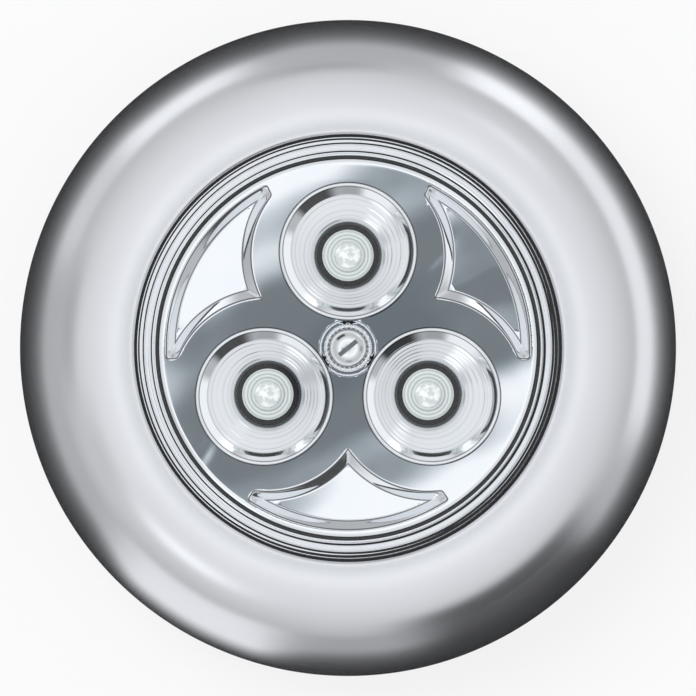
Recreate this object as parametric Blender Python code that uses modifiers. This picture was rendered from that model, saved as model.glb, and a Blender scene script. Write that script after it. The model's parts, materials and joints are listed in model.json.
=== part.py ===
"""Round battery puck light: a push lens over three light-emitting diodes, on a twist-off back plate.

Lengths are in metres and +Z points out of the lens, away from the wall. The origin is the centre of
the sticky pad's back face. Levels are worked out upwards from there.
"""
import math

import bmesh
import bpy
from mathutils import Matrix, Vector

# Shared clearances
SEAT_GAP = 0.0003
SLIDE_GAP = 0.0004
TWIST_GAP = 0.0004
CUT_OVERRUN = 0.0006
WELD_DISTANCE = 0.000002

# Sticky pad and back plate
PAD_DIAMETER = 0.040
PAD_THICKNESS = 0.0009
PAD_PROUD = 0.0005
BASE_THICKNESS = 0.0016
BASE_RIM_WALL = 0.0012
BASE_RIM_HEIGHT = 0.0030
BASE_EDGE_CHAMFER = 0.0003
WALL_SCREW_RADIUS = 0.0250
WALL_SCREW_HOLE = 0.0042
WALL_SCREW_SINK = 0.0076
WALL_SCREW_SINK_DEPTH = 0.0010

# Twist lock
LUG_REACH = 0.0013
LUG_THICKNESS = 0.0013
LUG_ANGLE = 16.0
LUG_DROP = 0.0003
TWIST_ANGLE = 25.0
TWIST_SLACK_ANGLE = 1.0
FIRST_LUG_ANGLE = 30.0
LUG_COUNT = 3

# Housing ring
HOUSING_WALL = 0.0019
HOUSING_SKIRT_WALL = 0.00218
HOUSING_BACK_LEVEL = 0.0008
SIDE_WALL_HEIGHT = 0.0077
BACK_EDGE_ROUND = 0.0007
LIP_THICKNESS = 0.0018
LIP_EDGE_ROUND = 0.0004
SHOULDER_POWER = 2.5

# Battery cells
CELL_DIAMETER = 0.0105
CELL_LENGTH = 0.0445
CELL_SPACE = 0.0008
CELL_EDGE_ROUND = 0.0006
NUB_DIAMETER = 0.0038
NUB_HEIGHT = 0.0008
CELL_COUNT = 3

# Contacts
PLATE_THICKNESS = 0.0004
PLATE_WIDTH = 0.0072
PLATE_DEPTH = 0.0080
TAB_WIDTH = 0.0022
TAB_RISE = 0.0011
CONTACT_SPRING_LENGTH = 0.0030
CONTACT_SPRING_WIDE = 0.0058
CONTACT_SPRING_NARROW = 0.0030
CONTACT_WIRE = 0.00045
CONTACT_TURNS = 2.25

# Battery tray
TRAY_SPACE = 0.0004
TRAY_ROOF = 0.0011
TRAY_WALL = 0.0010
TRAY_WALL_DEPTH = 0.0090
CRADLE_RIB_WIDTH = 0.0009
CRADLE_RIB_DEPTH = 0.0034
END_WALL_SPACE = 0.0003
TRAY_BOSS_DIAMETER = 0.0050
BOARD_STANDOFF = 0.0006
STANDOFF_DIAMETER = 0.0024
STANDOFF_RADIUS = 0.0122
GUIDE_POST_WIDTH = 0.0010
GUIDE_POST_HEIGHT = 0.0032
SPRING_PEG_DIAMETER = 0.0012
SPRING_PEG_HEIGHT = 0.0012

# Screws
BOSS_SPACE = 0.0009
BOSS_DIAMETER = 0.0042
BOSS_ANGLE = 26.0
BOSS_BURY = 0.0003
SCREW_SHAFT = 0.0018
SCREW_HEAD = 0.0038
SCREW_HEAD_HEIGHT = 0.0013
SCREW_LENGTH = 0.0060
SCREW_TIP = 0.0006
SCREW_HEAD_CHAMFER = 0.0004
SCREW_BORE_GAP = 0.0002
SCREW_SLOT = 0.0006
SCREW_SLOT_DEPTH = 0.0005
CENTRE_HEAD = 0.0041
CENTRE_HEAD_HEIGHT = 0.0015
CENTRE_EDGE_WIDTH = 0.0004
CENTRE_CROWN_RISE = 0.0003
SCREW_TURN_ANGLE = 39.0
CENTRE_SCREW_REACH = 0.0042

# Light board
BOARD_DIAMETER = 0.0290
BOARD_THICKNESS = 0.0010
BOARD_BOSS_GAP = 0.0003
LEAD_HOLE = 0.0010

# Light-emitting diodes
LED_COUNT = 3
LED_FIRST_ANGLE = 90.0
LED_FLANGE = 0.0053
LED_FLANGE_HEIGHT = 0.0014
LED_BARREL = 0.0048
LED_HEIGHT = 0.0037
LED_DOME_RISE = 0.0011
LED_LEAD = 0.0005
LED_LEAD_PITCH = 0.0025
LED_LEAD_LENGTH = 0.0017

# Resistor
RESISTOR_LENGTH = 0.0044
RESISTOR_DIAMETER = 0.0018
RESISTOR_WAIST = 0.0014
RESISTOR_CAP_LENGTH = 0.0011
RESISTOR_CAP_ROUND = 0.0004
RESISTOR_NECK = 0.0003
RESISTOR_LEAD = 0.0005
RESISTOR_SPAN = 0.0070
RESISTOR_RADIUS = 0.0093
RESISTOR_ANGLE = 90.0
RESISTOR_LIFT = 0.0003

# Reflector
REFLECTOR_THICKNESS = 0.0016
REFLECTOR_OVER_LED = 0.0002
REFLECTOR_SKIRT_WALL = 0.0010
REFLECTOR_EDGE_ROUND = 0.0004
CUP_MOUTH = 0.0114
CUP_BEVEL_WIDTH = 0.0010
CUP_BEVEL_DROP = 0.0008
CUP_LIP_WIDTH = 0.0004
CUP_TO_CENTRE = 0.0023
CUP_TO_EDGE = 0.0031
CUP_HOLE = 0.0062
CUP_FOOT = 0.0084
CUP_DEPTH = 0.0034
CUP_FOOT_WALL = 0.0005
CUP_LIP_RISE = 0.0002
CUP_STEP_COUNT = 5
CUP_TREAD_SHARE = 0.62
WELL_DIAMETER = 0.0056
WELL_WALL = 0.0010
WELL_DEPTH = 0.0015
WELL_FLOOR = 0.0010
POCKET_CUP_SPACE = 0.00275
POCKET_EDGE = 0.00115
POCKET_WALL_WIDTH = 0.0009
POCKET_DEPTH = 0.0008
WIRE_NOTCH_WIDTH = 0.0026
WIRE_NOTCH_HEIGHT = 0.0019

# Lens
LENS_TRAVEL = 0.0015
LENS_CLEARANCE = 0.0011
LENS_THICKNESS = 0.0020
LENS_CROWN = 0.0012
LENS_INNER_CROWN = 0.0004
LENS_PROUD = 0.0004
LENS_WALL = 0.00145
LENS_EDGE_ROUND = 0.0004
LENS_STEP_WIDTH = 0.0008
LENS_STEP_DROP = 0.00025
FLANGE_THICKNESS = 0.0014
LEG_WIDTH = 0.0036
LEG_THICKNESS = 0.0022
LEG_UNDER_LENS = 0.00035
LEG_FOOT_GAP = 0.0008
LEG_COUNT = 3
PUSH_LEG_SHORTER = 0.0006

# Lens springs
RETURN_WIRE = 0.0004
RETURN_COIL = 0.0022
RETURN_TURNS = 3.5
RETURN_FIRST_ANGLE = 60.0

# Switch
SWITCH_WIDTH = 0.0070
SWITCH_HEIGHT = 0.0064
SWITCH_SPACE = 0.00085
SWITCH_EDGE = 0.0003
STEM_WIDTH = 0.0030
STEM_POCKET_DEPTH = 0.0044
STEM_ROUND = 0.0004
SOCKET_WALL = 0.0008
SOCKET_DEPTH = 0.0050
HOOK_THICKNESS = 0.0008
HOOK_REACH = 0.0008
TAG_THICKNESS = 0.0004
TAG_WIDTH = 0.0010
TAG_OFFSET = 0.0026
TAG_INSET = 0.0009
TAG_ROOT = 0.0010

# Wires
WIRE_DIAMETER = 0.0010
WIRE_END_GAP = 0.0003
SWITCHED_NOTCH_ANGLE = -36.0
SWITCHED_EDGE_TURN = 7.0
SWITCHED_END_TURN = 20.0
SWITCHED_BOSS_SHARE = 0.8
RED_BOSS_SHARES = (2.0, 1.2, 0.6)
BLACK_NOTCH_ANGLE = 252.0

# Facets
RING_STEPS = 60
BASE_STEPS = 48
REFLECTOR_STEPS = 48
BOARD_STEPS = 24
LENS_STEPS = 48
CUP_STEPS = 24
SMALL_STEPS = 14
LED_STEPS = 16
CELL_STEPS = 20
SHOULDER_POINTS = 9
INNER_SHOULDER_POINTS = 5
ROUND_POINTS = 2
CROWN_POINTS = 4
SCREW_CROWN_POINTS = 3
LIP_POINTS = 2
POCKET_POINTS = 12
SPRING_POINTS_PER_TURN = 8
WIRE_POINTS_PER_SPAN = 3
SMOOTH_ANGLE = 35.0


# Cells lie side by side along Y, the middle one turned end for end
cell_radius = CELL_DIAMETER / 2
cell_pitch = CELL_DIAMETER + CELL_SPACE
cell_side = cell_pitch * (CELL_COUNT - 1) / 2 + cell_radius
bay_side = cell_side + SEAT_GAP
bay_half_length = (CELL_LENGTH + CONTACT_SPRING_LENGTH + SEAT_GAP * 3) / 2
plate_middle = bay_half_length + PLATE_THICKNESS / 2
cell_directions = [1, -1, 1]

# Radii of what is behind the lens, from the cups outwards
cup_mouth_radius = CUP_MOUTH / 2
cup_crest_radius = cup_mouth_radius + CUP_BEVEL_WIDTH
cup_outer_radius = cup_crest_radius + CUP_LIP_WIDTH
led_pitch_radius = cup_outer_radius + CUP_TO_CENTRE
pocket_side_radius = cup_outer_radius + POCKET_CUP_SPACE + POCKET_WALL_WIDTH
reflector_radius = led_pitch_radius + cup_outer_radius + CUP_TO_EDGE
pocket_rim_radius = reflector_radius - POCKET_EDGE - POCKET_WALL_WIDTH
lens_inner_radius = reflector_radius + SLIDE_GAP
lens_radius = lens_inner_radius + LENS_WALL
opening_radius = lens_radius + SEAT_GAP

# The lens's legs stand where both the lens's edge and the switch beside the cells allow
switch_room_radius = bay_side + TRAY_WALL + SWITCH_SPACE + SWITCH_WIDTH / 2
leg_radius = max(lens_radius + LEG_THICKNESS / 2 - LEG_UNDER_LENS, switch_room_radius)
flange_radius = leg_radius + LEG_THICKNESS / 2
switch_radius = leg_radius
return_spring_radius = flange_radius - RETURN_COIL / 2 - RETURN_WIRE / 2

# The tray holds the cells' corners and the bosses round the lens, and the ring goes round the tray
tray_radius = max(math.hypot(cell_side, bay_half_length), flange_radius + BOSS_DIAMETER + BOSS_SPACE * 2)
boss_radius = tray_radius - BOSS_SPACE - BOSS_DIAMETER / 2
base_radius = tray_radius + TRAY_SPACE + BASE_RIM_WALL
outer_radius = base_radius + TWIST_GAP + HOUSING_SKIRT_WALL

# Levels, from the wall outwards
base_level = PAD_PROUD
base_floor_level = base_level + BASE_THICKNESS
base_rim_level = base_floor_level + BASE_RIM_HEIGHT
cell_level = base_floor_level + SEAT_GAP + cell_radius
roof_level = cell_level + cell_radius + SEAT_GAP
roof_top_level = roof_level + TRAY_ROOF
board_level = roof_top_level + BOARD_STANDOFF + SEAT_GAP
board_top_level = board_level + BOARD_THICKNESS
led_level = board_top_level + SEAT_GAP
led_top_level = led_level + LED_HEIGHT
reflector_level = led_top_level + REFLECTOR_OVER_LED
well_level = reflector_level - WELL_DEPTH
tray_boss_level = well_level - WELL_FLOOR - SEAT_GAP
lens_inner_level = reflector_level + LENS_TRAVEL + LENS_CLEARANCE
lens_top_level = lens_inner_level + LENS_THICKNESS
lens_edge_level = lens_top_level - LENS_CROWN
opening_level = lens_edge_level - LENS_PROUD
lip_level = opening_level - LIP_THICKNESS
flange_top_level = lip_level - SEAT_GAP
flange_level = flange_top_level - FLANGE_THICKNESS
shoulder_level = HOUSING_BACK_LEVEL + SIDE_WALL_HEIGHT
leg_level = roof_top_level + LENS_TRAVEL + LEG_FOOT_GAP
push_leg_level = leg_level + PUSH_LEG_SHORTER
stem_top_level = push_leg_level - SEAT_GAP
switch_top_level = roof_level - SEAT_GAP
switch_level = switch_top_level - SWITCH_HEIGHT

lug_level = base_rim_level - LUG_DROP - LUG_THICKNESS
lug_angles = [FIRST_LUG_ANGLE + 360.0 * i / LUG_COUNT for i in range(LUG_COUNT)]
led_angles = [LED_FIRST_ANGLE + 360.0 * i / LED_COUNT for i in range(LED_COUNT)]
pocket_angles = [angle + 180.0 / LED_COUNT for angle in led_angles]
leg_angles = [360.0 * i / LEG_COUNT for i in range(LEG_COUNT)]
return_angles = [RETURN_FIRST_ANGLE + 360.0 * i / LEG_COUNT for i in range(LEG_COUNT)]
boss_angles = [BOSS_ANGLE, 180 - BOSS_ANGLE, 180 + BOSS_ANGLE, -BOSS_ANGLE]


def clear_scene():
    for old in list(bpy.data.objects):
        bpy.data.objects.remove(old, do_unlink=True)


def new_collection(name):
    collection = bpy.data.collections.new(name)
    bpy.context.scene.collection.children.link(collection)
    return collection


def new_material(name, color, roughness, metallic=0.0, alpha=1.0):
    material = bpy.data.materials.new(name)
    material.use_nodes = True
    shader = material.node_tree.nodes["Principled BSDF"]
    shader.inputs["Base Color"].default_value = (*color, 1.0)
    shader.inputs["Roughness"].default_value = roughness
    shader.inputs["Metallic"].default_value = metallic
    shader.inputs["Alpha"].default_value = alpha
    return material


clear_scene()
parts = new_collection("puck_light")
cutters = new_collection("cutters")

silver_paint = new_material("silver_paint", (0.72, 0.73, 0.76), 0.32, 0.85)
chrome = new_material("chrome", (0.83, 0.86, 0.88), 0.05, 1.0)
screw_steel = new_material("screw_steel", (0.62, 0.63, 0.64), 0.25, 1.0)
clear_plastic = new_material("clear_plastic", (0.95, 0.97, 0.98), 0.03, 0.0, 0.25)
clear_resin = new_material("clear_resin", (0.93, 0.94, 0.92), 0.06, 0.0, 0.6)
black_plastic = new_material("black_plastic", (0.03, 0.03, 0.032), 0.45)
grey_plastic = new_material("grey_plastic", (0.32, 0.33, 0.34), 0.5)
white_foam = new_material("white_foam", (0.85, 0.85, 0.83), 0.9)
spring_steel = new_material("spring_steel", (0.68, 0.68, 0.66), 0.22, 1.0)
nickel_plate = new_material("nickel_plate", (0.74, 0.72, 0.66), 0.25, 1.0)
cell_jacket = new_material("cell_jacket", (0.12, 0.14, 0.16), 0.3, 0.2)
board_lacquer = new_material("board_lacquer", (0.012, 0.013, 0.014), 0.35)
resistor_ceramic = new_material("resistor_ceramic", (0.60, 0.45, 0.28), 0.5)
red_insulation = new_material("red_insulation", (0.62, 0.03, 0.03), 0.45)
black_insulation = new_material("black_insulation", (0.02, 0.02, 0.02), 0.45)


def polar(radius, angle, level=0.0):
    turn = math.radians(angle)
    return Vector((radius * math.cos(turn), radius * math.sin(turn), level))


def add_object(name, mesh, collection):
    item = bpy.data.objects.new(name, mesh)
    collection.objects.link(item)
    if collection is cutters:
        item.hide_render = True
        item.display_type = 'WIRE'
    return item


def finish_piece(item, material, parent, sharp_angle=SMOOTH_ANGLE):
    """Give a sub-part its material and its parent, and shade its round faces smooth."""
    item.data.materials.clear()
    item.data.materials.append(material)
    item.data.shade_smooth()
    item.data.set_sharp_from_angle(angle=math.radians(sharp_angle))
    if parent is not None:
        bpy.context.view_layer.update()
        item.parent = parent
        item.matrix_parent_inverse = parent.matrix_world.inverted()
    return item


def pivot(name, location, parent=None):
    """Add an empty on a joint's axis, for the pieces that move about it."""
    empty = bpy.data.objects.new(name, None)
    parts.objects.link(empty)
    empty.location = location
    if parent is not None:
        bpy.context.view_layer.update()
        empty.parent = parent
        empty.matrix_parent_inverse = parent.matrix_world.inverted()
    bpy.context.view_layer.update()
    return empty


def turned(name, profile, steps, collection, closed=False):
    """Turn a profile of (radius, level) points about Z: down the outer side, top to bottom."""
    mesh = bpy.data.meshes.new(name)
    edges = [(i, i + 1) for i in range(len(profile) - 1)]
    if closed:
        edges.append((len(profile) - 1, 0))
    mesh.from_pydata([(radius, 0.0, level) for radius, level in profile], edges, [])
    item = add_object(name, mesh, collection)
    screw = item.modifiers.new("turn", 'SCREW')
    screw.axis = 'Z'
    screw.steps = steps
    screw.render_steps = steps
    screw.use_merge_vertices = True
    screw.merge_threshold = WELD_DISTANCE
    screw.use_smooth_shade = True
    return item


def as_mesh(item, name, collection):
    """Replace a curve by its mesh, with the caps welded on."""
    bpy.context.view_layer.update()
    depsgraph = bpy.context.evaluated_depsgraph_get()
    mesh = bpy.data.meshes.new_from_object(item.evaluated_get(depsgraph))
    mesh.name = name
    work = bmesh.new()
    work.from_mesh(mesh)
    bmesh.ops.remove_doubles(work, verts=work.verts, dist=WELD_DISTANCE)
    bmesh.ops.recalc_face_normals(work, faces=work.faces)
    work.to_mesh(mesh)
    work.free()
    place = item.matrix_world.copy()
    bpy.data.objects.remove(item, do_unlink=True)
    solid = add_object(name, mesh, collection)
    solid.matrix_world = place
    return solid


def outline_solid(name, points, low, high, collection):
    """Fill a flat outline of (x, y) points and extrude it from one level to another."""
    curve = bpy.data.curves.new(name + "_outline", 'CURVE')
    curve.dimensions = '2D'
    curve.fill_mode = 'BOTH'
    curve.extrude = (high - low) / 2
    spline = curve.splines.new('POLY')
    spline.points.add(len(points) - 1)
    for point, (x, y) in zip(spline.points, points):
        point.co = (x, y, 0.0, 1.0)
    spline.use_cyclic_u = True
    item = bpy.data.objects.new(name + "_outline", curve)
    cutters.objects.link(item)
    item.location = (0.0, 0.0, (low + high) / 2)
    return as_mesh(item, name, collection)


def tapered_solid(name, low_points, high_points, low, high, collection):
    """Join two flat outlines that have as many points, one above the other, into a solid."""
    mesh = bpy.data.meshes.new(name)
    work = bmesh.new()
    lower = [work.verts.new((x, y, low)) for x, y in low_points]
    upper = [work.verts.new((x, y, high)) for x, y in high_points]
    work.faces.new(list(reversed(lower)))
    work.faces.new(upper)
    for i in range(len(lower)):
        k = (i + 1) % len(lower)
        work.faces.new((lower[i], lower[k], upper[k], upper[i]))
    bmesh.ops.recalc_face_normals(work, faces=work.faces)
    work.to_mesh(mesh)
    work.free()
    return add_object(name, mesh, collection)


def tube(name, points, diameter, resolution, collection):
    """Run a round wire through points, with filled ends."""
    curve = bpy.data.curves.new(name + "_path", 'CURVE')
    curve.dimensions = '3D'
    curve.bevel_depth = diameter / 2
    curve.bevel_resolution = resolution
    curve.use_fill_caps = True
    spline = curve.splines.new('POLY')
    spline.points.add(len(points) - 1)
    for point, place in zip(spline.points, points):
        point.co = (*place, 1.0)
    item = bpy.data.objects.new(name + "_path", curve)
    cutters.objects.link(item)
    return as_mesh(item, name, collection)


def block(name, low, high, collection):
    """Add a box between two corners."""
    low = Vector(low)
    high = Vector(high)
    work = bmesh.new()
    size = high - low
    place = Matrix.Translation((low + high) / 2) @ Matrix.Diagonal((*size, 1.0))
    bmesh.ops.create_cube(work, size=1.0, matrix=place)
    mesh = bpy.data.meshes.new(name)
    work.to_mesh(mesh)
    work.free()
    return add_object(name, mesh, collection)


def rod(name, centre, diameter, low, high, steps, collection):
    """Add an upright cylinder between two levels."""
    work = bmesh.new()
    place = Matrix.Translation((centre[0], centre[1], (low + high) / 2))
    radius = diameter / 2
    bmesh.ops.create_cone(work, cap_ends=True, segments=steps, radius1=radius, radius2=radius,
                          depth=high - low, matrix=place)
    mesh = bpy.data.meshes.new(name)
    work.to_mesh(mesh)
    work.free()
    return add_object(name, mesh, collection)


def boolean(item, other, operation):
    modifier = item.modifiers.new(other.name, 'BOOLEAN')
    modifier.operation = operation
    modifier.solver = 'EXACT'
    modifier.object = other
    return item


def cut(item, other):
    return boolean(item, other, 'DIFFERENCE')


def join(item, other):
    return boolean(item, other, 'UNION')


def trim(item, other):
    return boolean(item, other, 'INTERSECT')


def rounded(corner, start, end, radius, count=ROUND_POINTS):
    """Points of a quarter-like round at a corner, from the start side to the end side."""
    corner = Vector(corner)
    first = corner + (Vector(start) - corner).normalized() * radius
    last = corner + (Vector(end) - corner).normalized() * radius
    points = []
    for i in range(count + 1):
        share = i / count
        near = first.lerp(corner, share)
        far = corner.lerp(last, share)
        points.append(tuple(near.lerp(far, share)))
    return points


def arc(centre, radius, start, end, count):
    """Points (x, y) along an arc about a centre, angles in degrees."""
    points = []
    for i in range(count + 1):
        turn = math.radians(start + (end - start) * i / count)
        points.append((centre[0] + radius * math.cos(turn), centre[1] + radius * math.sin(turn)))
    return points


def ring_sector(inner, outer, start, end):
    """Outline of a piece of a ring between two radii and two angles."""
    count = max(2, round((end - start) / 360.0 * RING_STEPS))
    outer_side = arc((0.0, 0.0), outer, start, end, count)
    inner_side = arc((0.0, 0.0), inner, end, start, count)
    return outer_side + inner_side


def turned_block(name, radius, angle, depth, width, low, high, collection, offset=0.0):
    """Add a box at a radius, square to it, shifted along its own width by the offset."""
    item = block(name, (-depth / 2, offset - width / 2, low), (depth / 2, offset + width / 2, high),
                 collection)
    item.location = polar(radius, angle)
    item.rotation_euler = (0.0, 0.0, math.radians(angle))
    return item


def shoulder(inner, outer, low, high, count):
    """Rounded shoulder of the ring: a superellipse from the opening's edge down to the side wall."""
    points = []
    for i in range(count + 1):
        turn = math.pi / 2 * (1 - i / count)
        across = math.cos(turn) ** (2 / SHOULDER_POWER) if i else 0.0
        up = math.sin(turn) ** (2 / SHOULDER_POWER) if i < count else 0.0
        points.append((inner + (outer - inner) * across, low + (high - low) * up))
    return points


def crown(radius, top, rise, count=CROWN_POINTS):
    """Points of a shallow dome from its middle out to a radius."""
    return [(radius * i / count, top - rise * (i / count) ** 2) for i in range(count + 1)]


def make_adhesive_pad():
    profile = [(0.0, PAD_THICKNESS), (PAD_DIAMETER / 2, PAD_THICKNESS), (PAD_DIAMETER / 2, 0.0), (0.0, 0.0)]
    pad = turned("adhesive_pad", profile, BASE_STEPS, parts)
    return finish_piece(pad, white_foam, None)


def make_base_plate():
    recess_radius = PAD_DIAMETER / 2 + SEAT_GAP
    recess_level = PAD_THICKNESS + SEAT_GAP
    rim_inner = base_radius - BASE_RIM_WALL
    profile = [
        (0.0, base_floor_level),
        (rim_inner, base_floor_level),
        (rim_inner, base_rim_level),
        (base_radius, base_rim_level),
        (base_radius, base_level + BASE_EDGE_CHAMFER),
        (base_radius - BASE_EDGE_CHAMFER, base_level),
        (recess_radius, base_level),
        (recess_radius, recess_level),
        (0.0, recess_level),
    ]
    base = turned("base_plate", profile, BASE_STEPS, parts)
    for i, angle in enumerate(lug_angles):
        outline = ring_sector(base_radius - BASE_RIM_WALL / 2, base_radius + LUG_REACH,
                              angle - LUG_ANGLE / 2, angle + LUG_ANGLE / 2)
        lug = outline_solid(f"lug_{i + 1}", outline, lug_level, lug_level + LUG_THICKNESS, cutters)
        join(base, lug)
    for i, angle in enumerate((0.0, 180.0)):
        sink_level = base_floor_level - WALL_SCREW_SINK_DEPTH
        hole_profile = [
            (0.0, base_floor_level + CUT_OVERRUN),
            (WALL_SCREW_SINK / 2, base_floor_level + CUT_OVERRUN),
            (WALL_SCREW_SINK / 2, base_floor_level),
            (WALL_SCREW_HOLE / 2, sink_level),
            (WALL_SCREW_HOLE / 2, base_level - CUT_OVERRUN),
            (0.0, base_level - CUT_OVERRUN),
        ]
        hole = turned(f"wall_screw_hole_{i + 1}", hole_profile, SMALL_STEPS, cutters)
        hole.location = polar(WALL_SCREW_RADIUS, angle)
        cut(base, hole)
    return finish_piece(base, black_plastic, None)


def make_housing(parent):
    bore = base_radius + TWIST_GAP
    inner_radius = outer_radius - HOUSING_WALL
    bore_top = base_rim_level + SEAT_GAP
    outside = shoulder(opening_radius + LIP_EDGE_ROUND, outer_radius, shoulder_level, opening_level,
                       SHOULDER_POINTS)
    inside = shoulder(opening_radius, inner_radius, shoulder_level, lip_level, INNER_SHOULDER_POINTS)
    inside.reverse()
    lip_edge = rounded((opening_radius, opening_level), (opening_radius, lip_level),
                       (outer_radius, opening_level), LIP_EDGE_ROUND)
    back_edge = rounded((outer_radius, HOUSING_BACK_LEVEL), (outer_radius, shoulder_level),
                        (bore, HOUSING_BACK_LEVEL), BACK_EDGE_ROUND)
    profile = lip_edge[:-1] + outside + back_edge
    profile += [(bore, HOUSING_BACK_LEVEL), (bore, bore_top), (inner_radius, bore_top + TWIST_GAP)] + inside
    housing = turned("housing", profile, RING_STEPS, parts, closed=True)
    for i, angle in enumerate(boss_angles):
        place = polar(boss_radius, angle)
        boss_top = lip_level - BOSS_BURY
        boss = rod(f"screw_boss_{i + 1}", place, BOSS_DIAMETER, roof_top_level + SEAT_GAP, boss_top,
                   SMALL_STEPS, cutters)
        join(housing, boss)
    for i, angle in enumerate(boss_angles):
        place = polar(boss_radius, angle)
        bore_hole = rod(f"screw_bore_{i + 1}", place, SCREW_SHAFT + SCREW_BORE_GAP * 2,
                        roof_top_level - CUT_OVERRUN, screw_tip_level() + SEAT_GAP, SMALL_STEPS, cutters)
        cut(housing, bore_hole)
    groove_radius = base_radius + LUG_REACH + TWIST_GAP
    half_lug = LUG_ANGLE / 2 + TWIST_SLACK_ANGLE
    groove_low = lug_level - TWIST_GAP
    groove_high = lug_level + LUG_THICKNESS + TWIST_GAP
    for i, angle in enumerate(lug_angles):
        inner = bore - CUT_OVERRUN
        entry_angle = angle - TWIST_ANGLE
        groove_outline = ring_sector(inner, groove_radius, entry_angle - half_lug, angle + half_lug)
        groove = outline_solid(f"lug_groove_{i + 1}", groove_outline, groove_low, groove_high, cutters)
        cut(housing, groove)
        entry_outline = ring_sector(inner, groove_radius, entry_angle - half_lug, entry_angle + half_lug)
        entry = outline_solid(f"lug_entry_{i + 1}", entry_outline, HOUSING_BACK_LEVEL - CUT_OVERRUN,
                              (groove_low + groove_high) / 2, cutters)
        cut(housing, entry)
    return finish_piece(housing, silver_paint, parent)


def screw_tip_level():
    return roof_level - SEAT_GAP + SCREW_LENGTH


def plate_tab_places():
    """Middle x and side (+1 or -1 along Y) of each contact plate's solder tab."""
    return {
        "link_plate_front": (-cell_pitch / 2, 1),
        "plus_plate": (cell_pitch, 1),
        "minus_plate": (-cell_pitch, -1),
        "link_plate_rear": (cell_pitch / 2, -1),
    }


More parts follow.
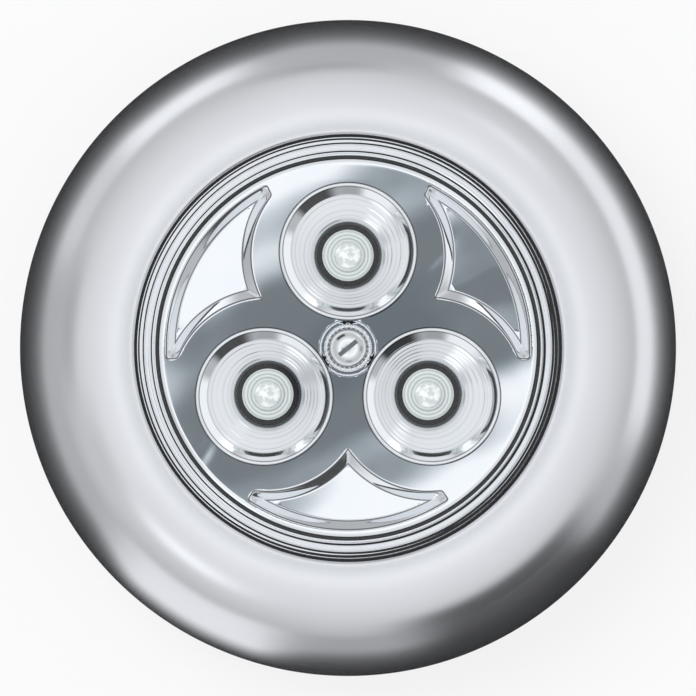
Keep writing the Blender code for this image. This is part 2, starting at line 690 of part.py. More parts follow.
def make_battery_tray(parent):
    tray = rod("battery_tray", (0.0, 0.0), (tray_radius + CUT_OVERRUN) * 2, roof_level, roof_top_level,
               SMALL_STEPS, parts)
    wall_low = roof_top_level - TRAY_ROOF / 2 - TRAY_WALL_DEPTH
    wall_high = roof_top_level - TRAY_ROOF / 2
    side = bay_side
    end = bay_half_length + PLATE_THICKNESS + END_WALL_SPACE
    walls = []
    for sign, word in ((-1, "left"), (1, "right")):
        inner = sign * side
        outer = sign * (side + TRAY_WALL)
        walls.append(block(f"side_wall_{word}", (min(inner, outer), -tray_radius, wall_low),
                           (max(inner, outer), tray_radius, wall_high), cutters))
    for sign, word in ((-1, "rear"), (1, "front")):
        inner = sign * end
        outer = sign * (end + TRAY_WALL)
        walls.append(block(f"end_wall_{word}", (-side - TRAY_WALL / 2, min(inner, outer), wall_low),
                           (side + TRAY_WALL / 2, max(inner, outer), wall_high), cutters))
    rib_end = bay_half_length - CONTACT_SPRING_LENGTH
    for sign, word in ((-1, "left"), (1, "right")):
        middle = sign * cell_pitch / 2
        walls.append(block(f"cradle_rib_{word}",
                           (middle - CRADLE_RIB_WIDTH / 2, -rib_end, roof_level - CRADLE_RIB_DEPTH),
                           (middle + CRADLE_RIB_WIDTH / 2, rib_end, wall_high), cutters))
    socket_half = SWITCH_WIDTH / 2 + SEAT_GAP
    socket_outer = switch_radius + socket_half
    socket_low = wall_high - TRAY_ROOF / 2 - SOCKET_DEPTH
    for sign, word in ((-1, "rear"), (1, "front")):
        inner = sign * socket_half
        outer = sign * (socket_half + SOCKET_WALL)
        walls.append(block(f"socket_side_{word}", (side + TRAY_WALL / 2, min(inner, outer), socket_low),
                           (socket_outer + SOCKET_WALL, max(inner, outer), wall_high), cutters))
    hook_top = switch_level - SEAT_GAP
    walls.append(block("socket_back", (socket_outer, -socket_half - SOCKET_WALL / 2, hook_top - HOOK_THICKNESS),
                       (socket_outer + SOCKET_WALL, socket_half + SOCKET_WALL / 2, wall_high), cutters))
    walls.append(block("socket_hook",
                       (socket_outer - SEAT_GAP - HOOK_REACH, -TAG_OFFSET, hook_top - HOOK_THICKNESS),
                       (socket_outer + SOCKET_WALL / 2, TAG_OFFSET, hook_top), cutters))
    for wall in walls:
        join(tray, wall)
    trim_rod = rod("tray_round", (0.0, 0.0), tray_radius * 2, wall_low - CUT_OVERRUN,
                   roof_top_level + CUT_OVERRUN, BASE_STEPS, cutters)
    trim(tray, trim_rod)
    top_low = roof_top_level - TRAY_ROOF / 2
    join(tray, rod("centre_boss", (0.0, 0.0), TRAY_BOSS_DIAMETER, top_low, tray_boss_level,
                   SMALL_STEPS, cutters))
    for i, angle in enumerate(pocket_angles):
        standoff = rod(f"board_standoff_{i + 1}", polar(STANDOFF_RADIUS, angle), STANDOFF_DIAMETER,
                       top_low, roof_top_level + BOARD_STANDOFF, SMALL_STEPS, cutters)
        join(tray, standoff)
    for i, angle in enumerate(return_angles):
        peg = rod(f"spring_peg_{i + 1}", polar(return_spring_radius, angle), SPRING_PEG_DIAMETER,
                  top_low, roof_top_level + SPRING_PEG_HEIGHT, SPRING_POINTS_PER_TURN, cutters)
        join(tray, peg)
    for i, angle in enumerate(leg_angles):
        for sign in (-1, 1):
            offset = sign * (LEG_WIDTH / 2 + SLIDE_GAP + GUIDE_POST_WIDTH / 2)
            post = turned_block(f"guide_post_{i + 1}_{sign + 1}", leg_radius, angle, LEG_THICKNESS,
                                GUIDE_POST_WIDTH, top_low, roof_top_level + GUIDE_POST_HEIGHT, cutters, offset)
            join(tray, post)
    for i, angle in enumerate(boss_angles):
        hole = rod(f"tray_screw_hole_{i + 1}", polar(boss_radius, angle), SCREW_SHAFT + SEAT_GAP * 2,
                   roof_level - CUT_OVERRUN, roof_top_level + CUT_OVERRUN, SMALL_STEPS, cutters)
        cut(tray, hole)
    slot_half = TAB_WIDTH / 2 + SEAT_GAP
    for name, (middle, sign) in plate_tab_places().items():
        near = sign * (bay_half_length - SEAT_GAP)
        far = sign * (bay_half_length + PLATE_THICKNESS + SEAT_GAP)
        slot = block(f"{name}_slot", (middle - slot_half, min(near, far), roof_level - CUT_OVERRUN),
                     (middle + slot_half, max(near, far), roof_top_level + CUT_OVERRUN), cutters)
        cut(tray, slot)
    stem_half = STEM_WIDTH / 2 + SLIDE_GAP
    cut(tray, block("stem_hole", (switch_radius - stem_half, -stem_half, roof_level - CUT_OVERRUN),
                    (switch_radius + stem_half, stem_half, roof_top_level + CUT_OVERRUN), cutters))
    for sign in (-1, 1):
        x, y = tag_place(sign)
        half_thick = TAG_THICKNESS / 2 + SEAT_GAP
        half_wide = TAG_WIDTH / 2 + SEAT_GAP
        cut(tray, block(f"tag_slot_{sign + 1}", (x - half_thick, y - half_wide, roof_level - CUT_OVERRUN),
                        (x + half_thick, y + half_wide, roof_top_level + CUT_OVERRUN), cutters))
    cut(tray, rod("centre_bore", (0.0, 0.0), SCREW_SHAFT + SCREW_BORE_GAP * 2,
                  centre_tip_level() - SEAT_GAP, tray_boss_level + CUT_OVERRUN, SMALL_STEPS, cutters))
    return finish_piece(tray, grey_plastic, parent)


def tag_place(sign):
    return switch_radius + SWITCH_WIDTH / 2 - TAG_INSET, sign * TAG_OFFSET


def centre_tip_level():
    return tray_boss_level - CENTRE_SCREW_REACH


def make_cells(parent):
    body_top = CELL_LENGTH - NUB_HEIGHT
    profile = [(0.0, CELL_LENGTH), (NUB_DIAMETER / 2, CELL_LENGTH), (NUB_DIAMETER / 2, body_top)]
    profile += rounded((cell_radius, body_top), (0.0, body_top), (cell_radius, 0.0), CELL_EDGE_ROUND)
    profile += rounded((cell_radius, 0.0), (cell_radius, body_top), (0.0, 0.0), CELL_EDGE_ROUND)
    profile += [(0.0, 0.0)]
    for i in range(CELL_COUNT):
        direction = cell_directions[i]
        cell = turned(f"battery_{i + 1}", profile, CELL_STEPS, parts)
        x = (i - (CELL_COUNT - 1) / 2) * cell_pitch
        y = direction * (bay_half_length - SEAT_GAP - CELL_LENGTH)
        cell.location = (x, y, cell_level)
        cell.rotation_euler = (math.radians(-90.0 * direction), 0.0, 0.0)
        finish_piece(cell, cell_jacket, parent)


def make_contact_plate(name, left, right, parent):
    """A sheet contact with a solder tab that stands up through the tray's roof."""
    middle, sign = plate_tab_places()[name]
    low = cell_level - PLATE_DEPTH / 2
    high = min(cell_level + PLATE_DEPTH / 2, roof_level - SEAT_GAP)
    tab_top = roof_top_level + TAB_RISE
    half_tab = TAB_WIDTH / 2
    outline = [
        (left, low),
        (right, low),
        (right, high),
        (middle + half_tab, high),
        (middle + half_tab, tab_top),
        (middle - half_tab, tab_top),
        (middle - half_tab, high),
        (left, high),
    ]
    plate = outline_solid(name, outline, -PLATE_THICKNESS / 2, PLATE_THICKNESS / 2, parts)
    plate.location = (0.0, sign * plate_middle, 0.0)
    plate.rotation_euler = (math.radians(90.0), 0.0, 0.0)
    return finish_piece(plate, nickel_plate, parent)


def make_contacts(parent):
    half = PLATE_WIDTH / 2
    outer_left = -cell_pitch - half
    outer_right = cell_pitch + half
    make_contact_plate("link_plate_front", outer_left, half, parent)
    make_contact_plate("plus_plate", cell_pitch - half, outer_right, parent)
    make_contact_plate("minus_plate", outer_left, -cell_pitch + half, parent)
    make_contact_plate("link_plate_rear", -half, outer_right, parent)


def least_turn_gap(points, wire, points_per_turn):
    """Least distance between a helix's turns, less the wire."""
    least = None
    skip = max(2, points_per_turn // 2)
    for i, first in enumerate(points):
        for second in points[i + skip:]:
            distance = (Vector(first) - Vector(second)).length - wire
            if least is None or distance < least:
                least = distance
    return least


def helix(length, wide, narrow, wire, turns, points_per_turn):
    """Centre line of a spring along +Z from 0 to its length, with straight ends one wire long."""
    count = round(turns * points_per_turn)
    points = []
    start = wire
    end = length - wire
    for i in range(count + 1):
        share = i / count
        radius = (wide + (narrow - wide) * share) / 2
        turn = 2 * math.pi * turns * share
        points.append((radius * math.cos(turn), radius * math.sin(turn), start + (end - start) * share))
    first = points[0]
    last = points[-1]
    points.insert(0, (first[0], first[1], 0.0))
    points.append((last[0], last[1], length))
    return points


def make_contact_springs(parent):
    for i in range(CELL_COUNT):
        direction = cell_directions[i]
        points = helix(CONTACT_SPRING_LENGTH - SEAT_GAP, CONTACT_SPRING_WIDE, CONTACT_SPRING_NARROW,
                       CONTACT_WIRE, CONTACT_TURNS, SPRING_POINTS_PER_TURN)
        spring = tube(f"contact_spring_{i + 1}", points, CONTACT_WIRE, 1, parts)
        x = (i - (CELL_COUNT - 1) / 2) * cell_pitch
        spring.location = (x, -direction * (bay_half_length - SEAT_GAP), cell_level)
        spring.rotation_euler = (math.radians(-90.0 * direction), 0.0, 0.0)
        finish_piece(spring, spring_steel, parent)
    gap = least_turn_gap(points, CONTACT_WIRE, SPRING_POINTS_PER_TURN)
    print(f"contact spring least gap between turns {gap * 1000:.3f} mm")


def make_return_springs(parent):
    low = roof_top_level + SEAT_GAP
    high = flange_level - SEAT_GAP
    points = helix(high - low, RETURN_COIL, RETURN_COIL, RETURN_WIRE, RETURN_TURNS, SPRING_POINTS_PER_TURN)
    for i, angle in enumerate(return_angles):
        spring = tube(f"return_spring_{i + 1}", points, RETURN_WIRE, 1, parts)
        spring.location = polar(return_spring_radius, angle, low)
        finish_piece(spring, spring_steel, parent)
    gap = least_turn_gap(points, RETURN_WIRE, SPRING_POINTS_PER_TURN)
    print(f"return spring least gap between turns {gap * 1000:.3f} mm")


def make_switch(body_parent, stem_parent):
    half = SWITCH_WIDTH / 2
    body = block("switch_body", (switch_radius - half, -half, switch_level),
                 (switch_radius + half, half, switch_top_level), parts)
    bevel = body.modifiers.new("edges", 'BEVEL')
    bevel.width = SWITCH_EDGE
    bevel.segments = 1
    pocket_half = STEM_WIDTH / 2 + SLIDE_GAP
    pocket_level = switch_top_level - STEM_POCKET_DEPTH
    cut(body, block("stem_pocket", (switch_radius - pocket_half, -pocket_half, pocket_level),
                    (switch_radius + pocket_half, pocket_half, switch_top_level + CUT_OVERRUN), cutters))
    for sign in (-1, 1):
        x, y = tag_place(sign)
        tag = block(f"switch_tag_{sign + 1}",
                    (x - TAG_THICKNESS / 2, y - TAG_WIDTH / 2, switch_top_level - TAG_ROOT),
                    (x + TAG_THICKNESS / 2, y + TAG_WIDTH / 2, roof_top_level + TAB_RISE), cutters)
        join(body, tag)
    finish_piece(body, black_plastic, body_parent)
    stem_half = STEM_WIDTH / 2
    stem_low = switch_top_level - STEM_POCKET_DEPTH + LENS_TRAVEL + SEAT_GAP
    stem = block("switch_stem", (switch_radius - stem_half, -stem_half, stem_low),
                 (switch_radius + stem_half, stem_half, stem_top_level), parts)
    stem_bevel = stem.modifiers.new("edges", 'BEVEL')
    stem_bevel.width = STEM_ROUND
    stem_bevel.segments = 2
    finish_piece(stem, white_foam, stem_parent)


def lead_places(angle):
    """Where a diode's two legs pass through the board."""
    middle = polar(led_pitch_radius, angle)
    across = polar(LED_LEAD_PITCH / 2, angle + 90.0)
    return [middle - across, middle + across]


def resistor_lead_places():
    middle = polar(-RESISTOR_RADIUS, RESISTOR_ANGLE)
    return [middle - Vector((RESISTOR_SPAN / 2, 0.0, 0.0)), middle + Vector((RESISTOR_SPAN / 2, 0.0, 0.0))]


def make_led_board(parent):
    hole_radius = TRAY_BOSS_DIAMETER / 2 + BOARD_BOSS_GAP
    radius = BOARD_DIAMETER / 2
    profile = [(hole_radius, board_top_level), (radius, board_top_level), (radius, board_level),
               (hole_radius, board_level)]
    board = turned("led_board", profile, BOARD_STEPS, parts, closed=True)
    places = [place for angle in led_angles for place in lead_places(angle)]
    places += resistor_lead_places()
    for i, place in enumerate(places):
        cut(board, rod(f"lead_hole_{i + 1}", place, LEAD_HOLE, board_level - CUT_OVERRUN,
                       board_top_level + CUT_OVERRUN, SPRING_POINTS_PER_TURN, cutters))
    return finish_piece(board, board_lacquer, parent)


def make_leds(parent):
    flange = LED_FLANGE / 2
    barrel = LED_BARREL / 2
    profile = crown(barrel, led_top_level, LED_DOME_RISE, CROWN_POINTS)
    profile += [
        (barrel, led_level + LED_FLANGE_HEIGHT),
        (flange, led_level + LED_FLANGE_HEIGHT),
        (flange, led_level),
        (0.0, led_level),
    ]
    for i, angle in enumerate(led_angles):
        middle = polar(led_pitch_radius, angle)
        led = turned(f"led_{i + 1}", profile, LED_STEPS, parts)
        led.location = middle
        for j, place in enumerate(lead_places(angle)):
            lead = block(f"led_{i + 1}_lead_{j + 1}",
                         (place.x - LED_LEAD / 2, place.y - LED_LEAD / 2, led_level - LED_LEAD_LENGTH),
                         (place.x + LED_LEAD / 2, place.y + LED_LEAD / 2, led_level + LED_FLANGE_HEIGHT / 2),
                         cutters)
            join(led, lead)
        finish_piece(led, clear_resin, parent)


def make_resistor(parent):
    half = RESISTOR_LENGTH / 2
    body = RESISTOR_DIAMETER / 2
    waist = RESISTOR_WAIST / 2
    cap = half - RESISTOR_CAP_LENGTH
    neck = cap - RESISTOR_NECK
    cap_end = half - RESISTOR_CAP_ROUND
    upper = [(0.0, half), (waist, half), (body, cap_end), (body, cap), (waist, neck)]
    profile = upper + [(radius, -level) for radius, level in reversed(upper)]
    level = board_top_level + RESISTOR_LIFT + body
    resistor = turned("resistor", profile, SPRING_POINTS_PER_TURN, parts)
    resistor.location = polar(-RESISTOR_RADIUS, RESISTOR_ANGLE, level)
    resistor.rotation_euler = (0.0, math.radians(90.0), 0.0)
    first, last = resistor_lead_places()
    foot = board_level - RESISTOR_LIFT
    points = [(first.x, first.y, foot), (first.x, first.y, level), (last.x, last.y, level),
              (last.x, last.y, foot)]
    join(resistor, tube("resistor_lead", points, RESISTOR_LEAD, 0, cutters))
    return finish_piece(resistor, resistor_ceramic, parent)


def cup_profile():
    """Section of a cup: a low lip, a sloping band inside it, and treads stepping down to the diode's hole."""
    lip_low_level = reflector_level - CUP_LIP_RISE
    band_low_level = reflector_level - CUP_BEVEL_DROP
    foot_level = reflector_level - CUP_DEPTH - CUP_FOOT_WALL
    hole = CUP_HOLE / 2
    profile = [(cup_mouth_radius, band_low_level)]
    for i in range(LIP_POINTS + 1):
        turn = math.pi / 2 * i / LIP_POINTS
        level = lip_low_level + CUP_LIP_RISE * 2 * math.cos(turn)
        profile.append((cup_crest_radius + CUP_LIP_WIDTH * math.sin(turn), level))
    profile += [
        (cup_outer_radius, reflector_level - REFLECTOR_THICKNESS),
        (CUP_FOOT / 2, foot_level),
        (hole, foot_level),
    ]
    steps = []
    run = (cup_mouth_radius - hole) / CUP_STEP_COUNT
    rise = (CUP_DEPTH - CUP_BEVEL_DROP) / CUP_STEP_COUNT
    for i in range(CUP_STEP_COUNT):
        start = cup_mouth_radius - run * i
        level = band_low_level - rise * i
        steps.append((start - run * (1 - CUP_TREAD_SHARE), level - rise * CUP_TREAD_SHARE))
        steps.append((start - run, level - rise))
    steps.reverse()
    return profile + steps


def meeting_angle(pitch, far, radius):
    """Angle at the middle between a cup's centre and where its circle meets a larger radius."""
    return math.degrees(math.acos((pitch ** 2 + far ** 2 - radius ** 2) / (2 * pitch * far)))


def pocket_spread():
    """Angle at the middle between a pocket's middle and each of its two tips, at the wall's foot."""
    return 180.0 / LED_COUNT - meeting_angle(led_pitch_radius, pocket_rim_radius, pocket_side_radius)


def pocket_side(middle_angle, side, outset):
    """One concave side of a pocket, concentric with its neighbouring cup, from the apex to the blunt tip."""
    centre = polar(led_pitch_radius, middle_angle + side * 180.0 / LED_COUNT)
    radius = pocket_side_radius - outset
    half_turn = math.radians(180.0 / LED_COUNT)
    along = led_pitch_radius * math.cos(half_turn)
    apex = along + math.sqrt(radius ** 2 - (led_pitch_radius * math.sin(half_turn)) ** 2)
    start = polar(apex, middle_angle) - centre
    tip = polar(pocket_rim_radius, middle_angle + side * pocket_spread())
    end = tip - centre
    start_angle = math.degrees(math.atan2(start.y, start.x))
    end_angle = math.degrees(math.atan2(end.y, end.x))
    sweep = (end_angle - start_angle + 180.0) % 360.0 - 180.0
    sweep -= sweep / POCKET_POINTS
    outwards = (tip - polar(pocket_rim_radius, middle_angle)).normalized()
    corner = tip + outwards * outset
    return arc(centre, radius, start_angle, start_angle + sweep, POCKET_POINTS // 2) + [(corner.x, corner.y)]


def pocket_outline(middle_angle, outset):
    """Closed outline of a pocket a width out from its wall's foot, with as many points for every width."""
    right = pocket_side(middle_angle, -1, outset)
    left = pocket_side(middle_angle, 1, outset)
    reach = pocket_spread() * (1 - 1 / POCKET_POINTS)
    rim = arc((0.0, 0.0), pocket_rim_radius + outset, middle_angle - reach, middle_angle + reach, POCKET_POINTS)
    left.reverse()
    return right + rim + left[:-1]


def make_reflector(parent):
    under = reflector_level - REFLECTOR_THICKNESS
    skirt_low = roof_top_level + SEAT_GAP
    skirt_inner = reflector_radius - REFLECTOR_SKIRT_WALL
    reflector = rod("reflector", (0.0, 0.0), reflector_radius * 2, skirt_low, reflector_level,
                    REFLECTOR_STEPS, parts)
    rim = reflector.modifiers.new("rim", 'BEVEL')
    rim.width = REFLECTOR_EDGE_ROUND
    rim.segments = 2
    cut(reflector, rod("skirt_inside", (0.0, 0.0), skirt_inner * 2, skirt_low - CUT_OVERRUN, under,
                       REFLECTOR_STEPS, cutters))
    well_outer = WELL_DIAMETER + WELL_WALL * 2
    join(reflector, rod("well_body", (0.0, 0.0), well_outer, well_level - WELL_FLOOR,
                        reflector_level - REFLECTOR_THICKNESS / 2, CUP_STEPS, cutters))
    for i, angle in enumerate(pocket_angles):
        overrun_width = POCKET_WALL_WIDTH * CUT_OVERRUN / POCKET_DEPTH
        floor = pocket_outline(angle, 0.0)
        mouth = pocket_outline(angle, POCKET_WALL_WIDTH + overrun_width)
        cut(reflector, tapered_solid(f"pocket_{i + 1}", floor, mouth, reflector_level - POCKET_DEPTH,
                                     reflector_level + CUT_OVERRUN, cutters))
    cut(reflector, rod("well", (0.0, 0.0), WELL_DIAMETER, well_level, reflector_level + CUT_OVERRUN,
                       CUP_STEPS, cutters))
    for i, angle in enumerate(led_angles):
        way = rod(f"cup_way_{i + 1}", polar(led_pitch_radius, angle), cup_crest_radius + cup_outer_radius,
                  well_level - WELL_FLOOR - CUT_OVERRUN, reflector_level + CUT_OVERRUN, SMALL_STEPS, cutters)
        cut(reflector, way)
    for i, angle in enumerate(led_angles):
        cup = turned(f"cup_{i + 1}", cup_profile(), CUP_STEPS, cutters, closed=True)
        cup.location = polar(led_pitch_radius, angle)
        join(reflector, cup)
    cut(reflector, rod("screw_way", (0.0, 0.0), SCREW_SHAFT + SEAT_GAP * 2,
                       well_level - WELL_FLOOR - CUT_OVERRUN, well_level + CUT_OVERRUN, SMALL_STEPS, cutters))
    for i, angle in enumerate(notch_angles()):
        notch = turned_block(f"wire_notch_{i + 1}", reflector_radius - REFLECTOR_SKIRT_WALL / 2, angle,
                             REFLECTOR_SKIRT_WALL + CUT_OVERRUN * 2, WIRE_NOTCH_WIDTH, skirt_low - CUT_OVERRUN,
                             skirt_low + WIRE_NOTCH_HEIGHT, cutters)
        cut(reflector, notch)
    return finish_piece(reflector, chrome, parent)


def make_centre_screw(parent):
    head = CENTRE_HEAD / 2
    shaft = SCREW_SHAFT / 2
    head_low = well_level + SEAT_GAP
    head_high = head_low + CENTRE_HEAD_HEIGHT
    tip = centre_tip_level()
    profile = crown(head - CENTRE_EDGE_WIDTH, head_high, CENTRE_CROWN_RISE, SCREW_CROWN_POINTS)
    profile += [
        (head, head_high - CENTRE_HEAD_HEIGHT / 2),
        (head, head_low),
        (shaft, head_low),
        (shaft, tip + SCREW_TIP),
        (0.0, tip),
    ]
    screw = turned("centre_screw", profile, SMALL_STEPS, parts)
    slot = block("centre_slot", (-head - CUT_OVERRUN, -SCREW_SLOT / 2, head_high - SCREW_SLOT_DEPTH),
                 (head + CUT_OVERRUN, SCREW_SLOT / 2, head_high + CUT_OVERRUN), cutters)
    slot.rotation_euler = (0.0, 0.0, math.radians(SCREW_TURN_ANGLE))
    cut(screw, slot)
    return finish_piece(screw, screw_steel, parent)


def make_tray_screws(parent):
    head = SCREW_HEAD / 2
    shaft = SCREW_SHAFT / 2
    head_high = roof_level - SEAT_GAP
    head_low = head_high - SCREW_HEAD_HEIGHT
    profile = [
        (0.0, screw_tip_level()),
        (shaft, screw_tip_level() - SCREW_TIP),
        (shaft, head_high),
        (head, head_high),
        (head, head_low + SCREW_HEAD_CHAMFER),
        (head - SCREW_HEAD_CHAMFER, head_low),
        (0.0, head_low),
    ]
    for i, angle in enumerate(boss_angles):
        screw = turned(f"tray_screw_{i + 1}", profile, SMALL_STEPS, parts)
        screw.location = polar(boss_radius, angle)
        screw.rotation_euler = (0.0, 0.0, math.radians(angle))
        slot = block(f"tray_screw_slot_{i + 1}", (-head - CUT_OVERRUN, -SCREW_SLOT / 2, head_low - CUT_OVERRUN),
                     (head + CUT_OVERRUN, SCREW_SLOT / 2, head_low + SCREW_SLOT_DEPTH), cutters)
        slot.location = screw.location
        slot.rotation_euler = screw.rotation_euler
        cut(screw, slot)
        finish_piece(screw, screw_steel, parent)


def make_lens(parent):
    step_level = lens_edge_level - LENS_STEP_DROP
    profile = crown(lens_radius - LENS_STEP_WIDTH, lens_top_level, LENS_CROWN)
    profile.append((lens_radius - LENS_STEP_WIDTH, step_level))
    profile += rounded((lens_radius, step_level), (0.0, step_level), (lens_radius, flange_level),
                       LENS_EDGE_ROUND, 2)
    profile += [
        (lens_radius, flange_top_level),
        (flange_radius, flange_top_level),
        (flange_radius, flange_level),
        (lens_inner_radius, flange_level),
    ]
    inside = crown(lens_inner_radius, lens_inner_level, LENS_INNER_CROWN)
    inside.reverse()
    profile += inside
    lens = turned("lens", profile, LENS_STEPS, parts)
    for i, angle in enumerate(leg_angles):
        low = push_leg_level if i == 0 else leg_level
        leg = turned_block(f"lens_leg_{i + 1}", leg_radius, angle, LEG_THICKNESS, LEG_WIDTH, low,
                           flange_level + FLANGE_THICKNESS / 2, cutters)
        join(lens, leg)
    return finish_piece(lens, clear_plastic, parent)


def smooth_path(places, count):
    """Points along a smooth curve through the given places."""
    points = []
    for i in range(len(places) - 1):
        before = Vector(places[max(i - 1, 0)])
        start = Vector(places[i])
        end = Vector(places[i + 1])
        after = Vector(places[min(i + 2, len(places) - 1)])
        for step in range(count):
            t = step / count
            point = 0.5 * ((2 * start) + (end - before) * t
                           + (2 * before - 5 * start + 4 * end - after) * t ** 2
                           + (3 * start - before - 3 * end + after) * t ** 3)
            points.append(tuple(point))
    points.append(tuple(places[-1]))
    return points


def notch_angles():
    """Where the two leads to the board pass through the reflector's skirt."""
    return SWITCHED_NOTCH_ANGLE, BLACK_NOTCH_ANGLE


def make_wires(parent):
    run_level = roof_top_level + WIRE_END_GAP + WIRE_DIAMETER / 2
    pad_level = board_top_level + WIRE_END_GAP + WIRE_DIAMETER / 2
    tab_face = bay_half_length - WIRE_END_GAP - WIRE_DIAMETER / 2
    skirt_middle = reflector_radius - REFLECTOR_SKIRT_WALL / 2
    inside = skirt_middle - REFLECTOR_SKIRT_WALL * 2
    outside = skirt_middle + REFLECTOR_SKIRT_WALL * 2
    rising_level = (run_level + pad_level) / 2
    tag_x, tag_y = tag_place(1)
    tag_clear = WIRE_END_GAP + WIRE_DIAMETER / 2 + TAG_WIDTH / 2
    board_edge = BOARD_DIAMETER / 2
    over_edge = board_edge + WIRE_DIAMETER
    pad_radius = board_edge - WIRE_DIAMETER
    first_notch, second_notch = notch_angles()
    plus_x = plate_tab_places()["plus_plate"][0]
    minus_x = plate_tab_places()["minus_plate"][0]
    boss_side = boss_radius - BOSS_DIAMETER / 2 - WIRE_DIAMETER
    red = [
        (plus_x, tab_face, run_level),
        polar(boss_radius - WIRE_DIAMETER, BOSS_ANGLE * RED_BOSS_SHARES[0], run_level),
        polar(boss_side, BOSS_ANGLE * RED_BOSS_SHARES[1], run_level),
        polar(boss_side, BOSS_ANGLE * RED_BOSS_SHARES[2], run_level),
        (tag_x, tag_y + tag_clear, run_level),
    ]
    switched = [
        (tag_x, -tag_y - tag_clear, run_level),
        polar(boss_side, -BOSS_ANGLE * SWITCHED_BOSS_SHARE, run_level),
        polar(outside, first_notch, run_level),
        polar(skirt_middle, first_notch, run_level),
        polar(inside, first_notch, rising_level),
        polar(over_edge, first_notch - SWITCHED_EDGE_TURN, pad_level),
        polar(pad_radius, first_notch - SWITCHED_END_TURN, pad_level),
    ]
    black = [
        (minus_x, -tab_face, run_level),
        polar(boss_radius - WIRE_DIAMETER, second_notch, run_level),
        polar(outside, second_notch, run_level),
        polar(skirt_middle, second_notch, run_level),
        polar(inside, second_notch, rising_level),
        polar(over_edge, second_notch, pad_level),
        polar(pad_radius, second_notch, pad_level),
    ]
    for name, places, material in (("wire_red", red, red_insulation),
                                   ("wire_switched", switched, red_insulation),
                                   ("wire_black", black, black_insulation)):
        wire = tube(name, smooth_path(places, WIRE_POINTS_PER_SPAN), WIRE_DIAMETER, 1, parts)
        finish_piece(wire, material, parent)


def build():
    twist_pivot = pivot("twist_pivot", (0.0, 0.0, 0.0))
    lens_slide = pivot("lens_slide", (0.0, 0.0, flange_level), twist_pivot)
    stem_slide = pivot("stem_slide", (switch_radius, 0.0, stem_top_level), twist_pivot)
    make_adhesive_pad()
    make_base_plate()
    make_housing(twist_pivot)
    make_battery_tray(twist_pivot)
    make_cells(twist_pivot)
    make_contacts(twist_pivot)
    make_contact_springs(twist_pivot)
    make_switch(twist_pivot, stem_slide)
    make_led_board(twist_pivot)
    make_leds(twist_pivot)
    make_resistor(twist_pivot)
    make_reflector(twist_pivot)
    make_centre_screw(twist_pivot)
    make_tray_screws(twist_pivot)
    make_return_springs(twist_pivot)
    make_wires(twist_pivot)
    make_lens(lens_slide)


build()
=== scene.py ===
import json
import math

import bmesh
import bpy
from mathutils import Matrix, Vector
from mathutils.geometry import delaunay_2d_cdt


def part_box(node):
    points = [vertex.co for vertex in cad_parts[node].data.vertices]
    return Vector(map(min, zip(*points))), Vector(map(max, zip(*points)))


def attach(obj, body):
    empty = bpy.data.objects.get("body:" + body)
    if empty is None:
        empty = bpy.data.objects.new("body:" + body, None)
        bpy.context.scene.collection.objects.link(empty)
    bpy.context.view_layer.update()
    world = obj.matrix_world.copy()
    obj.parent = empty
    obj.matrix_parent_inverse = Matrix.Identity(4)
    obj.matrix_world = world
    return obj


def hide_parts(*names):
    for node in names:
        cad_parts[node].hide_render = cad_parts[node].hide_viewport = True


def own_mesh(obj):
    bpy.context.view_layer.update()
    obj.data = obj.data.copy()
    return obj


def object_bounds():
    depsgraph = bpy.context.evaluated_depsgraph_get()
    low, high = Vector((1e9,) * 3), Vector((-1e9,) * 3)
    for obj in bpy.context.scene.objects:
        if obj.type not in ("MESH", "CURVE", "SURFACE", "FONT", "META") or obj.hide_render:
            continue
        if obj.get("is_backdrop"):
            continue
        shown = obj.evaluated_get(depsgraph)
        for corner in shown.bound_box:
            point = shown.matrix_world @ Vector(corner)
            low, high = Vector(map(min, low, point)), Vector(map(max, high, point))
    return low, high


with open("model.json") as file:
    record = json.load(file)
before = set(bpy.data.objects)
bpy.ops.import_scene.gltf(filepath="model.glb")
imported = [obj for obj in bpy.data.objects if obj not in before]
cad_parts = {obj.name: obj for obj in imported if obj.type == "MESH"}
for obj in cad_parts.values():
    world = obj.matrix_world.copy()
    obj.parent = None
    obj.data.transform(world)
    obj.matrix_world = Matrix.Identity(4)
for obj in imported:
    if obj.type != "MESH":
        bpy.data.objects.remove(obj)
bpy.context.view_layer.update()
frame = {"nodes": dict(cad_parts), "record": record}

# Millimetres are used for every shape below; a mesh is scaled to metres when it is made
MM = 0.001
DEGREES = 180.0 / math.pi
RADIANS = math.pi / 180.0

# Points closer than WELD become one; CORNER_CUT is the share of each line that rounding takes at its ends
WELD = 0.002
CORNER_CUT = 0.25

# The ring, from its opening outwards
OPENING_RADIUS = 21.75
LIP_THICKNESS = 1.8
LIP_ROUND = 0.4
SHOULDER_LEVEL = 8.5
SHOULDER_POWER = 2.5
RING_WALL = 1.9
BORE_RADIUS = 31.3
BORE_TOP_LEVEL = 5.4
GROOVE_RADIUS = 32.6
GROOVE_LOW = 3.1
GROOVE_HIGH = 5.2
BACK_ROUND = 0.7
LUG_ANGLES = (30.0, 150.0, 270.0)
LUG_HALF_ANGLE = 9.0
TWIST_ANGLE = 25.0
ENTRY_EDGE = 0.02
LIP_POINTS = 8
SHOULDER_POINTS = 72
INSIDE_POINTS = 20
BACK_POINTS = 6
RING_STEPS = 240

